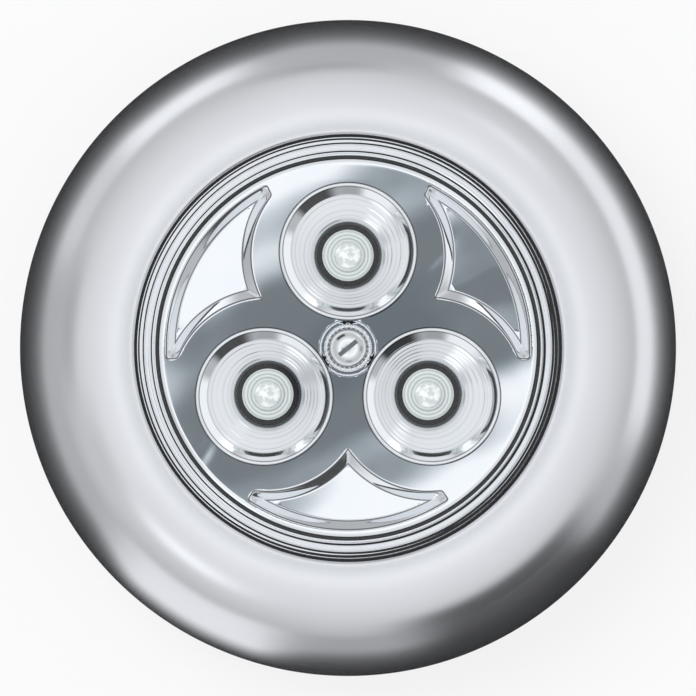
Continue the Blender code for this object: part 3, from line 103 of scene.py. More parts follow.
# The reflector's plate, its rolled edge, its skirt and the well in its middle
REFLECTOR_RADIUS = 19.6
PLATE_LEVEL = 20.4
PLATE_THICKNESS = 1.6
PLATE_DROP = 0.22
EDGE_ROLL = 0.8
EDGE_ROLL_ROOM = 1.4
EDGE_BEND = 0.3
EDGE_SLOPE = 0.42
SKIRT_DROP = 1.2
SKIRT_FOOT = 14.6
SKIRT_INNER_RADIUS = 18.6
SKIRT_INNER_TOP = 18.8
SKIRT_STEPS = 360
WELL_RADIUS = 2.85
WELL_LEVEL = 18.9
WELL_EDGE = 0.3
WELL_OVERLAP = 0.12
CENTRE = Vector((0.0, 0.0, 0.0))

# The plate's unevenness: waves, each by its turn per millimetre along x and y and its start
WAVE_HEIGHT = 0.004
WAVES = ((0.62, 0.35, 0.6), (0.28, -0.71, 2.1))

# Two long shallow dents in the plate: place, direction, length, width and depth
DENTS = ((8.9, 9.4, 48.0, 1.7, 0.55, 0.011), (-14.6, -10.6, 60.0, 1.5, 0.5, 0.010))

# The cups, whose lips lie a little further out than the diodes
LED_PITCH = 9.4
LED_ANGLES = (90.0, 210.0, 330.0)
CUP_RADIUS = 7.0
CUP_SHIFT = 0.42
SHIFT_INNER_RADIUS = 3.8
SHIFT_OUTER_RADIUS = 5.7
CUP_HOLE_RADIUS = 3.1
CUP_FOOT_RADIUS = 4.2
CUP_FOOT_LEVEL = 16.6
CUP_STEPS = 160
CUP_STEP = 0.02

# How steep a cup's section is at each radius, in degrees, falling inwards: lip, slope and soft rings
CUP_TILTS = (
    (CUP_RADIUS, -58.0), (6.93, -42.0), (6.82, -4.0), (6.76, 10.0), (6.66, 36.0), (6.58, 42.0),
    (6.20, 43.0), (5.84, 43.0), (5.76, 32.0), (5.66, 20.0), (5.43, 18.0), (5.38, 40.0),
    (5.33, 19.0), (5.02, 17.0), (4.94, 28.0), (4.86, 17.0), (4.56, 19.0), (4.46, 34.0),
    (4.36, 18.0), (4.12, 20.0), (4.05, 32.0), (3.98, 19.0), (3.86, 22.0), (3.74, 30.0),
    (3.40, 36.0), (3.16, 40.0), (3.12, 70.0), (CUP_HOLE_RADIUS, 78.0))

# A cup's slope falls early to the right and late at the bottom: middle angle, then how far from it
# the change is full and where it has ended
SLOPE_OUTER_RADIUS = 6.62
SLOPE_INNER_RADIUS = 5.72
SLOPE_BULGE = 0.26
RIGHT_SIDE = (-5.0, 20.0, 50.0)
BOTTOM_SIDE = (270.0, 10.0, 34.0)

# The three pockets sunk into the plate between the cups
POCKET_ANGLES = (150.0, 270.0, 30.0)
POCKET_TO_CUP = 60.0
POCKET_SIDE_RADIUS = 9.85
POCKET_RIM_RADIUS = 18.45
POCKET_WALL = 0.9
POCKET_FILLET = 0.12
POCKET_DEPTH = 0.8
POCKET_SPREAD = 33.5
POCKET_CORNER = 0.45
POCKET_TIP = 0.675
POCKET_SLOPE = 0.012
POCKET_MIDDLE = 5.0

# Where rows of points lie across a pocket's wall, from its top edge inwards
WALL_OFFSETS = (
    -0.4, -0.22, -0.14, -0.10, -0.06, -0.02, 0.02, 0.06, 0.10, 0.14, 0.22, 0.34, 0.45, 0.56,
    0.68, 0.76, 0.80, 0.84, 0.88, 0.92, 0.96, 1.0, 1.04, 1.12, 1.3)

# How the plate's points are spread: on open ground, along walls, and closest round a pocket's corners
OPEN_SPACING = 0.36
WALL_SPACING = 0.2
WALL_RUN_ON = 8
WALL_TOLERANCE = 0.012
CORNER_SPACING = 0.075
CORNER_ROOM = 1.45
CORNER_REACH = (-0.45, 1.2)
CORNER_OFF_EDGE = 0.6
OPEN_REACH = (-0.5, 1.4)
ROW_SHARE = 0.866
CUP_OFFSETS = (0.06, 0.2, 0.45)
CUP_MARGIN = 0.03
WALL_OFF_CUPS = 0.1
OPEN_OFF_CUPS = 0.5
EDGE_ROWS = 15
WELL_ROWS = 10
WELL_ROW_SPACING = 0.06
WELL_STEPS = 120
POINTS_PER_MM = 60
FLAT_TOLERANCE = 0.001
CUP_SHARE = 0.9995
LEVEL_TOLERANCE = 1e-6

# The lens, from its dome to its flange
LENS_RADIUS = 21.45
LENS_INNER_RADIUS = 19.74
DOME_RADIUS = 20.4
DOME_SPAN = 21.05
DOME_CROWN = 1.05
DOME_POINTS = 24
INNER_EDGE_LEVEL = 22.02
INNER_LEVEL = 23.0
INNER_SPAN = 19.5
INNER_CROWN = 0.9
INNER_POINTS = 20
LENS_STEPS = 240
FLANGE_RADIUS = 23.3
FLANGE_TOP = 21.3
FLANGE_LOW = 19.9

# The step in the lens's edge: radius, and drop below the dome's edge
LENS_EDGE = ((20.60, 0.02), (20.65, 0.10), (20.68, 0.22), (20.74, 0.26),
             (21.20, 0.27), (21.34, 0.31), (21.42, 0.40), (LENS_RADIUS, 0.55))

# The lens's legs and the springs under its flange
LEG_RADIUS = 22.2
LEG_THICKNESS = 2.2
LEG_WIDTH = 3.6
LEG_ANGLES = (0.0, 120.0, 240.0)
LEG_ROUND = 0.4
LEG_CHAMFER = 0.25
LEG_CORNER_POINTS = 4
LEG_SEAT = 0.1
PUSH_LEG_SHORTER = 0.6
RETURN_WIRE = 0.4
RETURN_TURNS = 3.5
RETURN_END = 0.15
RETURN_STEPS = 24
RETURN_SIDES = 10

# The bright band in the lens's edge: bowed steps over a black base of painted shade
BAND_LEVEL = 20.5
BAND_OUTSIDE = 0.04
BAND_INSIDE = 0.11
BAND_EDGE_DROP = 0.04
BAND_DEPTH = 0.4
BAND_BASE_RADIUS = 22.4
BAND_BASE_DEPTH = 0.5
BAND_BLACK_DROP = 0.1
BAND_DARK_SIDE = -25.0
BAND_DARK_POWER = 1.5
BAND_BOW = 0.12
BAND_BOW_POINTS = 8
BAND_STEPS = 360

# Painted shade lines between the band's steps: middle radius, width at the upper left and at the lower
# right
BAND_GAPS = ((21.17, 0.16, 0.50), (20.79, 0.11, 0.34), (20.43, 0.10, 0.30), (19.86, 0.10, 0.22))

# A diode: its dome and ringed rim as radius and drop below the top, its barrel over its foot
DIODE_FOOT = 16.5
DIODE_DOME = (
    (0.0, 0.0), (0.5, 0.04), (0.95, 0.16), (1.35, 0.36), (1.62, 0.58), (1.74, 0.76), (1.80, 0.84),
    (1.88, 0.80), (1.97, 0.79), (2.04, 0.85), (2.12, 0.83), (2.26, 0.84), (2.34, 0.90),
    (2.42, 0.87), (2.52, 0.91), (2.59, 1.0), (2.62, 1.14))
DIODE_BARREL = ((2.62, 1.4), (2.65, 1.3), (2.65, 0.0), (0.0, 0.0))
DIODE_STEPS = 96
CORE_DOME = ((0.0, 1.3), (0.5, 1.35), (0.95, 1.5), (1.3, 1.8), (1.5, 2.1))
CORE_RADIUS = 1.55
CORE_FOOT = 0.3
CORE_STEPS = 64
MILKY_RADIUS = (1.15, 1.45)
# Levels over which the painted shade on the barrel fades out upwards
BARREL_SHADE_LEVEL = (18.85, 19.05)

# The screw: its dished head as radius and drop below the top, its shaft, slot and toothed washer
SCREW_HEAD = (
    (0.0, 0.40), (0.5, 0.39), (0.9, 0.37), (1.12, 0.34), (1.36, 0.18), (1.60, 0.02), (1.74, 0.0),
    (1.86, 0.12), (1.92, 0.35), (1.92, 1.05), (1.5, 1.1), (0.9, 1.5))
SCREW_SHAFT = ((0.9, 14.0), (0.0, 13.6))
SCREW_STEPS = 96
SCREW_SMOOTH = 30.0
SLOT_LENGTH = 2.3
SLOT_WIDTH = 0.46
SLOT_DEPTH = 0.9
SLOT_DROP = 0.35
SLOT_ANGLE = 39.0
WASHER_DROP = 1.25
WASHER_TEETH = 26
TOOTH_SPREAD = 0.6

# Rows of the washer: radius, level between the teeth and level on a tooth
WASHER_ROWS = ((1.94, 0.0, 0.0), (2.02, 0.02, 0.02), (2.10, 0.03, 0.12), (2.30, 0.02, 0.13),
               (2.40, -0.02, 0.05), (2.42, -0.25, -0.25), (1.94, -0.25, -0.25))

# Painted shade lines in the chrome: half widths, and the radii of two of them
TOP_LINE = 0.085
FOOT_LINE = 0.08
LIP_LINE = 0.075
SLOPE_LINE = 0.06
SLOPE_LINE_RADIUS = 6.60
ROLL_LINE = 0.08
ROLL_LINE_RADIUS = 19.3

# Moulded plastics: slot, name, dark and light colour, roughness, grain size and grain depth
MOULDINGS = (
    ("base_plastic", "base_plastic", (0.03, 0.03, 0.032), (0.05, 0.05, 0.053), 0.45, 0.25, 0.02),
    ("tray_plastic", "tray_plastic", (0.28, 0.29, 0.30), (0.34, 0.35, 0.36), 0.42, 0.3, 0.012),
    ("switch_plastic", "switch_plastic", (0.02, 0.02, 0.022), (0.035, 0.035, 0.037), 0.35, 0.2, 0.008),
    ("stem_plastic", "stem_plastic", (0.74, 0.74, 0.72), (0.82, 0.82, 0.80), 0.35, 0.3, 0.006),
    ("wire_red", "wire_red", (0.50, 0.02, 0.02), (0.66, 0.04, 0.03), 0.35, 0.4, 0.006),
    ("wire_black", "wire_black", (0.012, 0.012, 0.012), (0.03, 0.03, 0.03), 0.35, 0.4, 0.006),
    ("resistor", "resistor_lacquer", (0.52, 0.38, 0.22), (0.66, 0.50, 0.32), 0.35, 0.3, 0.01))

# Painted shade: the black between the steps of the lens's edge, the same without a slot
EDGE_SHADOW = ("edge_shadow", (0.004, 0.004, 0.006), (0.012, 0.012, 0.016), 0.5, 0.2, 0.004)

# Plain metals: slot, name, dark and light colour, roughness and grain size
METALS = (
    ("contact", "contact_strip", (0.66, 0.64, 0.58), (0.78, 0.76, 0.70), 0.2, 0.3),
    ("screw", "tray_screw", (0.60, 0.61, 0.62), (0.72, 0.73, 0.74), 0.2, 0.2),
    ("spring_wire", "spring_wire", (0.60, 0.60, 0.58), (0.74, 0.74, 0.72), 0.18, 0.1))
RETURN_METAL = ("return_spring_wire", *METALS[-1][2:])

# The floor, and the card that polished surfaces show in its place
FLOOR_HALF_SIZE = 1500.0
FLOOR_SQUARES = 8
FLOOR_LEVEL = -0.02
FLOOR_GLOW = 0.75
CARD_RADII = (33.7, 1400.0)
CARD_LEVEL = 0.3
CARD_STEPS = 96
CARD_DARK = 0.01
CARD_DARK_RADIUS = 36.0
CARD_FADE = 64.0

# Where the card's dark middle fades faster or more slowly: azimuth, half width and change of the fade
CARD_FADES = ((240.0, 20.0, -44.0), (120.0, 14.0, 30.0))

# Brightness of the studio near the horizon, and its panels: azimuth, half width, soft edge and level
LOW_LEVEL = 0.47
LOW_PANELS = ((20.0, 45.0, 6.0, 0.98), (57.0, 10.0, 6.0, 1.25), (126.0, 15.0, 6.0, 1.1),
              (151.0, 12.0, 6.0, 0.72), (240.0, 18.0, 8.0, 0.95), (268.0, 10.0, 6.0, 0.38),
              (304.0, 20.0, 8.0, 0.04), (333.0, 10.0, 6.0, 0.5))

# Zenith angles between which the sky gives way to the panels near the horizon
HORIZON = (78.0, 84.0)

# Brightness down the sky by zenith angle, in shares of SKY_SCALE
SKY_SCALE = 1.2
SKY = ((0.0, 0.86), (4.5, 0.88), (8.0, 0.98), (14.0, 0.80), (24.0, 0.74), (40.0, 0.68),
       (60.0, 0.57), (74.0, 0.48), (90.0, 0.42))

# Panels in the sky: azimuth, half width, first and last zenith angle and level
SIDE_PANELS = ((232.0, 11.0, 36.0, 46.0, 1.55), (52.0, 9.0, 36.0, 44.0, 1.15),
               (204.0, 9.0, 36.0, 60.0, 0.60), (95.0, 12.0, 64.0, 77.0, 0.36),
               (176.0, 12.0, 56.0, 78.0, 0.42), (303.0, 20.0, 62.0, 90.0, 0.04))

# Soft edges of the panels in the sky and of the card's fades, in degrees
PANEL_SOFT = 7.0
FADE_SOFT = 8.0

# The dark gap overhead for the camera and its stand, as two soft ellipses seen from below
GAP_SHARES = (0.79, 0.61)
GAP_LENGTH = 0.088
GAP_WIDTH = 0.035
STAND_PLACE = (0.050, 0.018)
STAND_LENGTH = 0.045
STAND_WIDTH = 0.025
GAP_SOFT = (0.3, 1.6)
GAP_LEVEL = 0.20
GAP_TINT = (0.80, 0.92, 1.0)
STUDIO_TINT = (0.975, 0.985, 1.0)

# The camera: the picture's width, the ring's width in it, the sensor's width and the distance
PICTURE_PIXELS = 696.0
RING_PIXELS = 656.0
SENSOR = 36.0
CAMERA_DISTANCE = 3000.0


def polar(radius, angle, level=0.0):
    """Point at a radius, an angle in degrees and a level."""
    turn = math.radians(angle)
    return Vector((radius * math.cos(turn), radius * math.sin(turn), level))


def angle_between(first, second):
    return abs((first - second + 180.0) % 360.0 - 180.0)


def blend(value, low, high):
    """Smooth step from 0 at low to 1 at high."""
    share = min(max((value - low) / (high - low), 0.0), 1.0)
    return share * share * (3.0 - 2.0 * share)


class Value:
    """A shader socket that is used like a number: each operator adds a Math node."""

    def __init__(self, finish, socket):
        self.finish = finish
        self.socket = socket

    def math(self, operation, *others):
        return self.finish.node('ShaderNodeMath', {"operation": operation}, (self, *others))

    def __add__(self, other):
        return self.math('ADD', other)

    def __sub__(self, other):
        return self.math('SUBTRACT', other)

    def __rsub__(self, other):
        return self.math('MULTIPLY', -1.0).math('ADD', other)

    def __mul__(self, other):
        return self.math('MULTIPLY', other)

    def __truediv__(self, other):
        return self.math('DIVIDE', other)

    def __pow__(self, other):
        return self.math('POWER', other)

    __radd__ = __add__
    __rmul__ = __mul__

    def step(self, low, high):
        """Smooth step from 0 to 1 between two values."""
        settings = {"interpolation_type": 'SMOOTHSTEP', "clamp": True}
        return self.finish.node('ShaderNodeMapRange', settings, (self, low, high, 0.0, 1.0))

    def axes(self):
        """The three parts of a vector."""
        node = self.finish.add('ShaderNodeSeparateXYZ', {}, (self,))
        return [Value(self.finish, output) for output in node.outputs]


class Finish:
    """A node tree with one helper that adds any node."""

    def __init__(self, tree):
        self.tree = tree

    def add(self, kind, settings, sockets):
        node = self.tree.nodes.new(kind)
        for name, setting in settings.items():
            if name == "stops":
                ramp = node.color_ramp.elements
                while len(ramp) < len(setting):
                    ramp.new(0.5)
                for element, (place, color) in zip(ramp, setting):
                    element.position = place
                    element.color = color
            else:
                setattr(node, name, setting)
        pairs = sockets.items() if isinstance(sockets, dict) else enumerate(sockets)
        for key, value in pairs:
            if isinstance(value, Value):
                self.tree.links.new(value.socket, node.inputs[key])
            else:
                node.inputs[key].default_value = value
        return node

    def node(self, kind, settings, sockets, output=0):
        return Value(self, self.add(kind, settings, sockets).outputs[output])

    def place(self):
        """Place on the piece, in millimetres."""
        coordinates = self.node('ShaderNodeTexCoord', {}, (), "Object")
        return self.node('ShaderNodeVectorMath', {"operation": 'SCALE'},
                         {0: coordinates, "Scale": 1.0 / MM})

    def noise(self, size, detail=2.0, roughness=0.5, place=None):
        """Noise whose lumps are about a size, in millimetres."""
        return self.node('ShaderNodeTexNoise', {},
                         {"Vector": place or self.place(), "Scale": 1.0 / size, "Detail": detail,
                          "Roughness": roughness})

    def mix(self, factor, first, second):
        """Colour between two colours, each a triple of numbers or a socket."""
        first = (*first, 1.0) if isinstance(first, tuple) else first
        second = (*second, 1.0) if isinstance(second, tuple) else second
        return self.node('ShaderNodeMix', {"data_type": 'RGBA'}, {0: factor, 6: first, 7: second}, 2)

    def bump(self, height, depth):
        """Normal of a height from 0 to 1, over a depth in millimetres."""
        return self.node('ShaderNodeBump', {}, {"Strength": 1.0, "Distance": MM * depth, "Height": height})


def azimuth_of(x, y):
    """Direction round the Z axis, in degrees."""
    return y.math('ARCTAN2', x) * DEGREES


def new_finish(name, fixed=None):
    """A material with its Principled shader; fixed numbers go straight on the shader's sockets."""
    material = bpy.data.materials.new(name)
    material.use_nodes = True
    finish = Finish(material.node_tree)
    finish.material = material
    finish.shader = material.node_tree.nodes["Principled BSDF"]
    for socket, value in (fixed or {}).items():
        finish.shader.inputs[socket].default_value = value
    return finish


def drive(finish, **links):
    """Link values to the shader's sockets; a name's underscores stand for spaces."""
    for name, value in links.items():
        finish.tree.links.new(value.socket, finish.shader.inputs[name.replace("_", " ")])
    return finish.material


def silver_paint():
    """Satin metallic paint with fine flakes."""
    finish = new_finish("silver_paint", {"Metallic": 0.92, "Coat Weight": 0.25, "Coat Roughness": 0.12})
    flakes = finish.noise(0.05, 1.0)
    cloud = finish.noise(9.0, 2.0)
    color = finish.mix(cloud * 0.6 + flakes * 0.4, (0.76, 0.77, 0.80), (0.84, 0.85, 0.88))
    return drive(finish, Base_Color=color, Roughness=flakes * 0.10 + 0.17,
                 Normal=finish.bump(flakes, 0.0012))


def chrome_plate():
    """Mirror plating with painted shade: near-black lines along the pockets' walls, the cups' lips and
    slopes, and the rolled edge.
    """
    finish = new_finish("reflector_chrome", {"Metallic": 1.0})
    haze = finish.noise(4.0, 1.0)
    color = finish.mix(haze, (0.86, 0.89, 0.93), (0.93, 0.94, 0.965))
    x, y, z = finish.place().axes()
    radius = (x * x + y * y) ** 0.5
    # A third of the reflector is folded onto half of it, so that one pocket's lines serve all
    third = 2 * POCKET_TO_CUP
    turn = (azimuth_of(x, y) + (360.0 + POCKET_ANGLES[2])).math('MODULO', third) - POCKET_TO_CUP
    turn = turn.math('ABSOLUTE')
    along = radius * (turn * RADIANS).math('COSINE')
    aside = radius * (turn * RADIANS).math('SINE')

    def from_cup(pitch):
        across = aside - pitch * math.sin(math.radians(POCKET_TO_CUP))
        ahead = along - pitch * math.cos(math.radians(POCKET_TO_CUP))
        return (across * across + ahead * ahead) ** 0.5

    reach = (from_cup(LED_PITCH) - POCKET_SIDE_RADIUS).math('MINIMUM', POCKET_RIM_RADIUS - radius)
    reach = reach.math('SMOOTH_MIN', (POCKET_SPREAD - turn) * radius * RADIANS, POCKET_CORNER)

    def line(distance, place, half):
        return 1.0 - (distance - place).math('ABSOLUTE').step(half * 0.4, half * 1.2)

    lip = from_cup(LED_PITCH + CUP_SHIFT)
    painted_shade_lines = line(reach, 0.0, TOP_LINE)
    painted_shade_lines = painted_shade_lines.math('MAXIMUM', line(reach, POCKET_WALL, FOOT_LINE) * 0.9)
    painted_shade_lines = painted_shade_lines.math('MAXIMUM', line(lip, CUP_RADIUS, LIP_LINE))
    painted_shade_lines = painted_shade_lines.math('MAXIMUM', line(lip, SLOPE_LINE_RADIUS, SLOPE_LINE) * 0.7)
    painted_shade_lines = painted_shade_lines.math('MAXIMUM', line(radius, ROLL_LINE_RADIUS, ROLL_LINE) * 0.8)
    # Painted shade: the base colour turns near black along these lines
    shade = finish.mix(painted_shade_lines * 0.9, color, (0.05, 0.055, 0.065))
    return drive(finish, Base_Color=shade, Roughness=haze * 0.02 + 0.015,
                 Normal=finish.bump(haze, 0.002))


def lens_plastic():
    """Clear plastic with a faint haze. Its low index keeps the view through the lens straight."""
    finish = new_finish("clear_lens", {"Transmission Weight": 1.0, "IOR": 1.3})
    haze = finish.noise(4.0, 2.0)
    color = finish.mix(haze, (0.97, 0.985, 0.99), (0.99, 1.0, 1.0))
    return drive(finish, Base_Color=color, Roughness=finish.noise(0.3) * 0.01)


def edge_plating():
    """The bright band moulded into the lens's edge."""
    finish = new_finish("lens_edge_plating", {"Metallic": 1.0})
    haze = finish.noise(2.0, 2.0)
    return drive(finish, Base_Color=finish.mix(haze, (0.80, 0.83, 0.87), (0.92, 0.94, 0.97)),
                 Roughness=haze * 0.03 + 0.02)


def diode_resin():
    """Milky in the middle with a grey swirl, finely ringed towards the rim, with painted shade down the
    lower barrel and a faint painted glow.
    """
    finish = new_finish("diode_resin", {"IOR": 1.5, "Coat Weight": 0.6, "Coat Roughness": 0.03,
                                        "Emission Strength": 0.12})
    x, y, z = finish.place().axes()
    across = (x * x + y * y) ** 0.5
    swirl = finish.noise(0.9, 3.0, 0.6)
    rings = (across * 17.0 + swirl * 2.0).math('SINE') * 0.5 + 0.5
    middle = 1.0 - across.step(*MILKY_RADIUS)
    cloud = finish.mix(swirl.step(0.42, 0.62), (0.62, 0.66, 0.66), (0.97, 0.99, 0.97))
    rim = finish.mix(rings, (0.44, 0.48, 0.48), (0.74, 0.78, 0.77))
    top = finish.mix(middle, rim, cloud)
    # Painted shade: the barrel turns near black below a level
    shade = finish.mix(z.step(*BARREL_SHADE_LEVEL), (0.03, 0.032, 0.035), top)
    # Painted glow: the resin gives off a little light in its own colour, at the Emission Strength set
    # above
    return drive(finish, Base_Color=shade, Emission_Color=shade, Roughness=swirl * 0.1 + 0.03,
                 Normal=finish.bump(rings, 0.004))


def diode_core():
    """Bright lumpy metal under the resin."""
    finish = new_finish("diode_core", {"Metallic": 0.6})
    cloud = finish.noise(0.5, 3.0)
    color = finish.mix(cloud, (0.75, 0.78, 0.76), (0.97, 0.98, 0.97))
    return drive(finish, Base_Color=color, Roughness=cloud * 0.2 + 0.15, Normal=finish.bump(cloud, 0.05))


def bright_screw():
    """Plated steel with the fine rings of turning."""
    finish = new_finish("bright_screw", {"Metallic": 1.0})
    x, y, z = finish.place().axes()
    radius = (x * x + y * y) ** 0.5
    along = finish.node('ShaderNodeCombineXYZ', {}, (radius * 6.0, 0.0, z))
    turning = finish.noise(0.12, 1.0, 0.5, along)
    color = finish.mix(turning, (0.80, 0.82, 0.84), (0.92, 0.93, 0.94))
    return drive(finish, Base_Color=color, Roughness=turning * 0.04 + 0.03,
                 Normal=finish.bump(turning, 0.001))


def plain_moulding(name, dark, light, roughness, grain_size, grain_depth):
    """Moulded plastic: a little mottled, with a fine textured skin."""
    finish = new_finish(name)
    mottle = finish.noise(5.0, 3.0)
    grain = finish.noise(grain_size, 2.0)
    return drive(finish, Base_Color=finish.mix(mottle, dark, light),
                 Roughness=grain * 0.15 + roughness, Normal=finish.bump(grain, grain_depth))


def foam_finish():
    """White foam with fine cells."""
    finish = new_finish("foam", {"Roughness": 0.95})
    cells = finish.node('ShaderNodeTexVoronoi', {}, {"Vector": finish.place(), "Scale": 3.0})
    return drive(finish, Base_Color=finish.mix(cells, (0.62, 0.62, 0.60), (0.88, 0.88, 0.86)),
                 Normal=finish.bump(cells, 0.12))


def bright_metal(name, dark, light, roughness, grain_size):
    """Plain bright metal with a fine grain."""
    finish = new_finish(name, {"Metallic": 1.0})
    grain = finish.noise(grain_size, 3.0)
    return drive(finish, Base_Color=finish.mix(grain, dark, light), Roughness=grain * 0.15 + roughness,
                 Normal=finish.bump(grain, 0.004))


def board_lacquer():
    """Black lacquer on the diodes' board."""
    finish = new_finish("board_lacquer", {"Coat Weight": 0.4, "Coat Roughness": 0.1})
    grain = finish.noise(0.5, 2.0)
    return drive(finish, Base_Color=finish.mix(grain, (0.006, 0.007, 0.008), (0.02, 0.022, 0.024)),
                 Roughness=grain * 0.2 + 0.3, Normal=finish.bump(grain, 0.01))


def cell_jacket():
    """A cell's plain dark jacket with a copper-coloured band at each end."""
    finish = new_finish("cell_jacket", {"Coat Weight": 0.5})
    x, y, z = finish.place().axes()
    band = y.math('ABSOLUTE').step(19.0, 19.2)
    mottle = finish.noise(2.0, 2.0)
    jacket = finish.mix(mottle, (0.03, 0.035, 0.04), (0.05, 0.055, 0.06))
    color = finish.mix(band, jacket, (0.70, 0.45, 0.16))
    return drive(finish, Base_Color=color, Roughness=mottle * 0.1 + 0.25, Metallic=band * 0.6 + 0.2)


def new_piece(name, vertices, faces, material, body, replaced=None, smooth=40.0,
              origin=(0.0, 0.0, 0.0)):
    """Add a piece whose vertices are in millimetres from its origin, riding on a body; an edge that
    turns by more than the smooth angle, in degrees, stays sharp."""
    mesh = bpy.data.meshes.new(name)
    mesh.from_pydata([Vector(v) * MM for v in vertices], [], faces)
    work = bmesh.new()
    work.from_mesh(mesh)
    bmesh.ops.remove_doubles(work, verts=work.verts, dist=WELD * MM)
    bmesh.ops.recalc_face_normals(work, faces=work.faces)
    work.to_mesh(mesh)
    work.free()
    mesh.materials.append(material)
    mesh.shade_smooth()
    mesh.set_sharp_from_angle(angle=math.radians(smooth))
    piece = bpy.data.objects.new(name, mesh)
    piece.location = Vector(origin) * MM
    bpy.context.scene.collection.objects.link(piece)
    bpy.context.view_layer.update()
    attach(piece, body)
    if replaced:
        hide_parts(*replaced)
    return piece


def grid_faces(columns, rows, columns_close=True, rows_close=True):
    """Faces between the points of a grid listed column by column, closed round where asked."""
    faces = []
    for i in range(columns if columns_close else columns - 1):
        for j in range(rows if rows_close else rows - 1):
            k = (i + 1) % columns
            n = (j + 1) % rows
            faces.append((i * rows + j, i * rows + n, k * rows + n, k * rows + j))
    return faces


def lathe(profile, steps, centre=(0.0, 0.0), start=0, lean=(0.0, 0.0)):
    """Vertices and faces of a profile of (radius, level) turned about a centre; a third number in a
    point moves that ring's middle along a lean."""
    vertices = []
    rows = []
    for radius, level, *shift in profile:
        along = shift[0] if shift else 0.0
        x = centre[0] + lean[0] * along
        y = centre[1] + lean[1] * along
        if radius <= 0.0:
            rows.append([start + len(vertices)] * steps)
            vertices.append((x, y, level))
            continue
        rows.append([start + len(vertices) + i for i in range(steps)])
        for i in range(steps):
            turn = 2 * math.pi * i / steps
            vertices.append((x + radius * math.cos(turn), y + radius * math.sin(turn), level))
    faces = []
    for first, second in zip(rows, rows[1:]):
        for i in range(steps):
            k = (i + 1) % steps
            face = []
            for corner in (first[i], second[i], second[k], first[k]):
                if corner not in face:
                    face.append(corner)
            if len(face) > 2:
                faces.append(face)
    return vertices, faces


def round_corner(corner, before, after, radius, count):
    """Points of a fillet at a corner of a profile."""
    corner = Vector(corner)
    first = corner + (Vector(before) - corner).normalized() * radius
    last = corner + (Vector(after) - corner).normalized() * radius
    points = []
    for i in range(count + 1):
        share = i / count
        points.append(tuple(first.lerp(corner, share).lerp(corner.lerp(last, share), share)))
    return points


def shoulder(inner, outer, low, high, count):
    """Points of a superellipse from the opening's edge down to the side wall."""
    points = []
    for i in range(count + 1):
        turn = math.pi / 2 * (1 - i / count)
        across = math.cos(turn) ** (2 / SHOULDER_POWER) if i else 0.0
        up = math.sin(turn) ** (2 / SHOULDER_POWER) if i < count else 0.0
        points.append((inner + (outer - inner) * across, low + (high - low) * up))
    return points


def ring_angles():
    """Angles of the ring's columns, with a pair of close ones at each end of a groove or an entry."""
    angles = [360.0 * i / RING_STEPS for i in range(RING_STEPS)]
    for lug in LUG_ANGLES:
        entry = lug - TWIST_ANGLE
        for stop in (entry - LUG_HALF_ANGLE, entry + LUG_HALF_ANGLE, lug + LUG_HALF_ANGLE):
            angles += [stop - ENTRY_EDGE, stop + ENTRY_EDGE]
    return sorted({round(angle % 360.0, 4) for angle in angles})


def make_ring():
    """The silver ring as one turned moulding, with the twist lock's grooves and entries in its bore."""
    low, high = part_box("housing")
    outer = high.x / MM
    back = low.z / MM
    opening = high.z / MM
    inner = outer - RING_WALL
    outside = round_corner((OPENING_RADIUS, opening), (OPENING_RADIUS, 0.0), (outer, opening),
                           LIP_ROUND, LIP_POINTS)
    outside += shoulder(OPENING_RADIUS + LIP_ROUND, outer, SHOULDER_LEVEL, opening, SHOULDER_POINTS)[1:]
    outside += round_corner((outer, back), (outer, opening), (BORE_RADIUS, back),
                            BACK_ROUND, BACK_POINTS)
    entry_levels = (back, GROOVE_LOW)
    groove_levels = (GROOVE_LOW, GROOVE_HIGH)
    bore_levels = (GROOVE_HIGH, BORE_TOP_LEVEL)
    inside = shoulder(OPENING_RADIUS, inner, SHOULDER_LEVEL, opening - LIP_THICKNESS, INSIDE_POINTS)
    inside.reverse()
    vertices = []
    angles = ring_angles()
    for angle in angles:
        turns = [(angle - lug + 180.0) % 360.0 - 180.0 for lug in LUG_ANGLES]
        grooved = any(-TWIST_ANGLE - LUG_HALF_ANGLE < turn < LUG_HALF_ANGLE for turn in turns)
        entered = any(-TWIST_ANGLE - LUG_HALF_ANGLE < turn < LUG_HALF_ANGLE - TWIST_ANGLE
                      for turn in turns)
        column = list(outside)
        column += [(GROOVE_RADIUS if entered else BORE_RADIUS, level) for level in entry_levels]
        column += [(GROOVE_RADIUS if grooved else BORE_RADIUS, level) for level in groove_levels]
        column += [(BORE_RADIUS, level) for level in bore_levels]
        column += inside
        vertices += [polar(radius, angle, level) for radius, level in column]
    faces = grid_faces(len(angles), len(column))
    ring = new_piece("ring_shell", vertices, faces, silver_paint(), "light_body", ["housing"])
    # Left out of reflections, so that the chrome inside it shows the studio down to the horizon
    ring.visible_glossy = False


def cup_outline():
    """Section of a cup: a low round lip, a smooth slope, soft rings and the diode's hole. A point is a
    radius, a level and how far the middle of its ring lies from the diode's axis."""
    points = []
    level = PLATE_LEVEL
    radius = CUP_RADIUS
    half_step = CUP_STEP / 2
    for (far, far_tilt), (near, near_tilt) in zip(CUP_TILTS, CUP_TILTS[1:]):
        while radius > near + half_step:
            shift = CUP_SHIFT * blend(radius, SHIFT_INNER_RADIUS, SHIFT_OUTER_RADIUS)
            points.append((radius, level, shift))
            share = (far - radius + half_step) / (far - near)
            level -= CUP_STEP * math.tan(math.radians(far_tilt + (near_tilt - far_tilt) * share))
            radius -= CUP_STEP
    points += [(CUP_HOLE_RADIUS, level, 0.0), (CUP_HOLE_RADIUS, CUP_FOOT_LEVEL, 0.0),
               (CUP_FOOT_RADIUS, CUP_FOOT_LEVEL, 0.0),
               (CUP_RADIUS, PLATE_LEVEL - PLATE_THICKNESS, CUP_SHIFT)]
    return points


def near_side(angle, middle, full, ended):
    """1 near a middle angle, falling to 0 where the change has ended."""
    return 1.0 - blend(angle_between(angle, middle), full, ended)


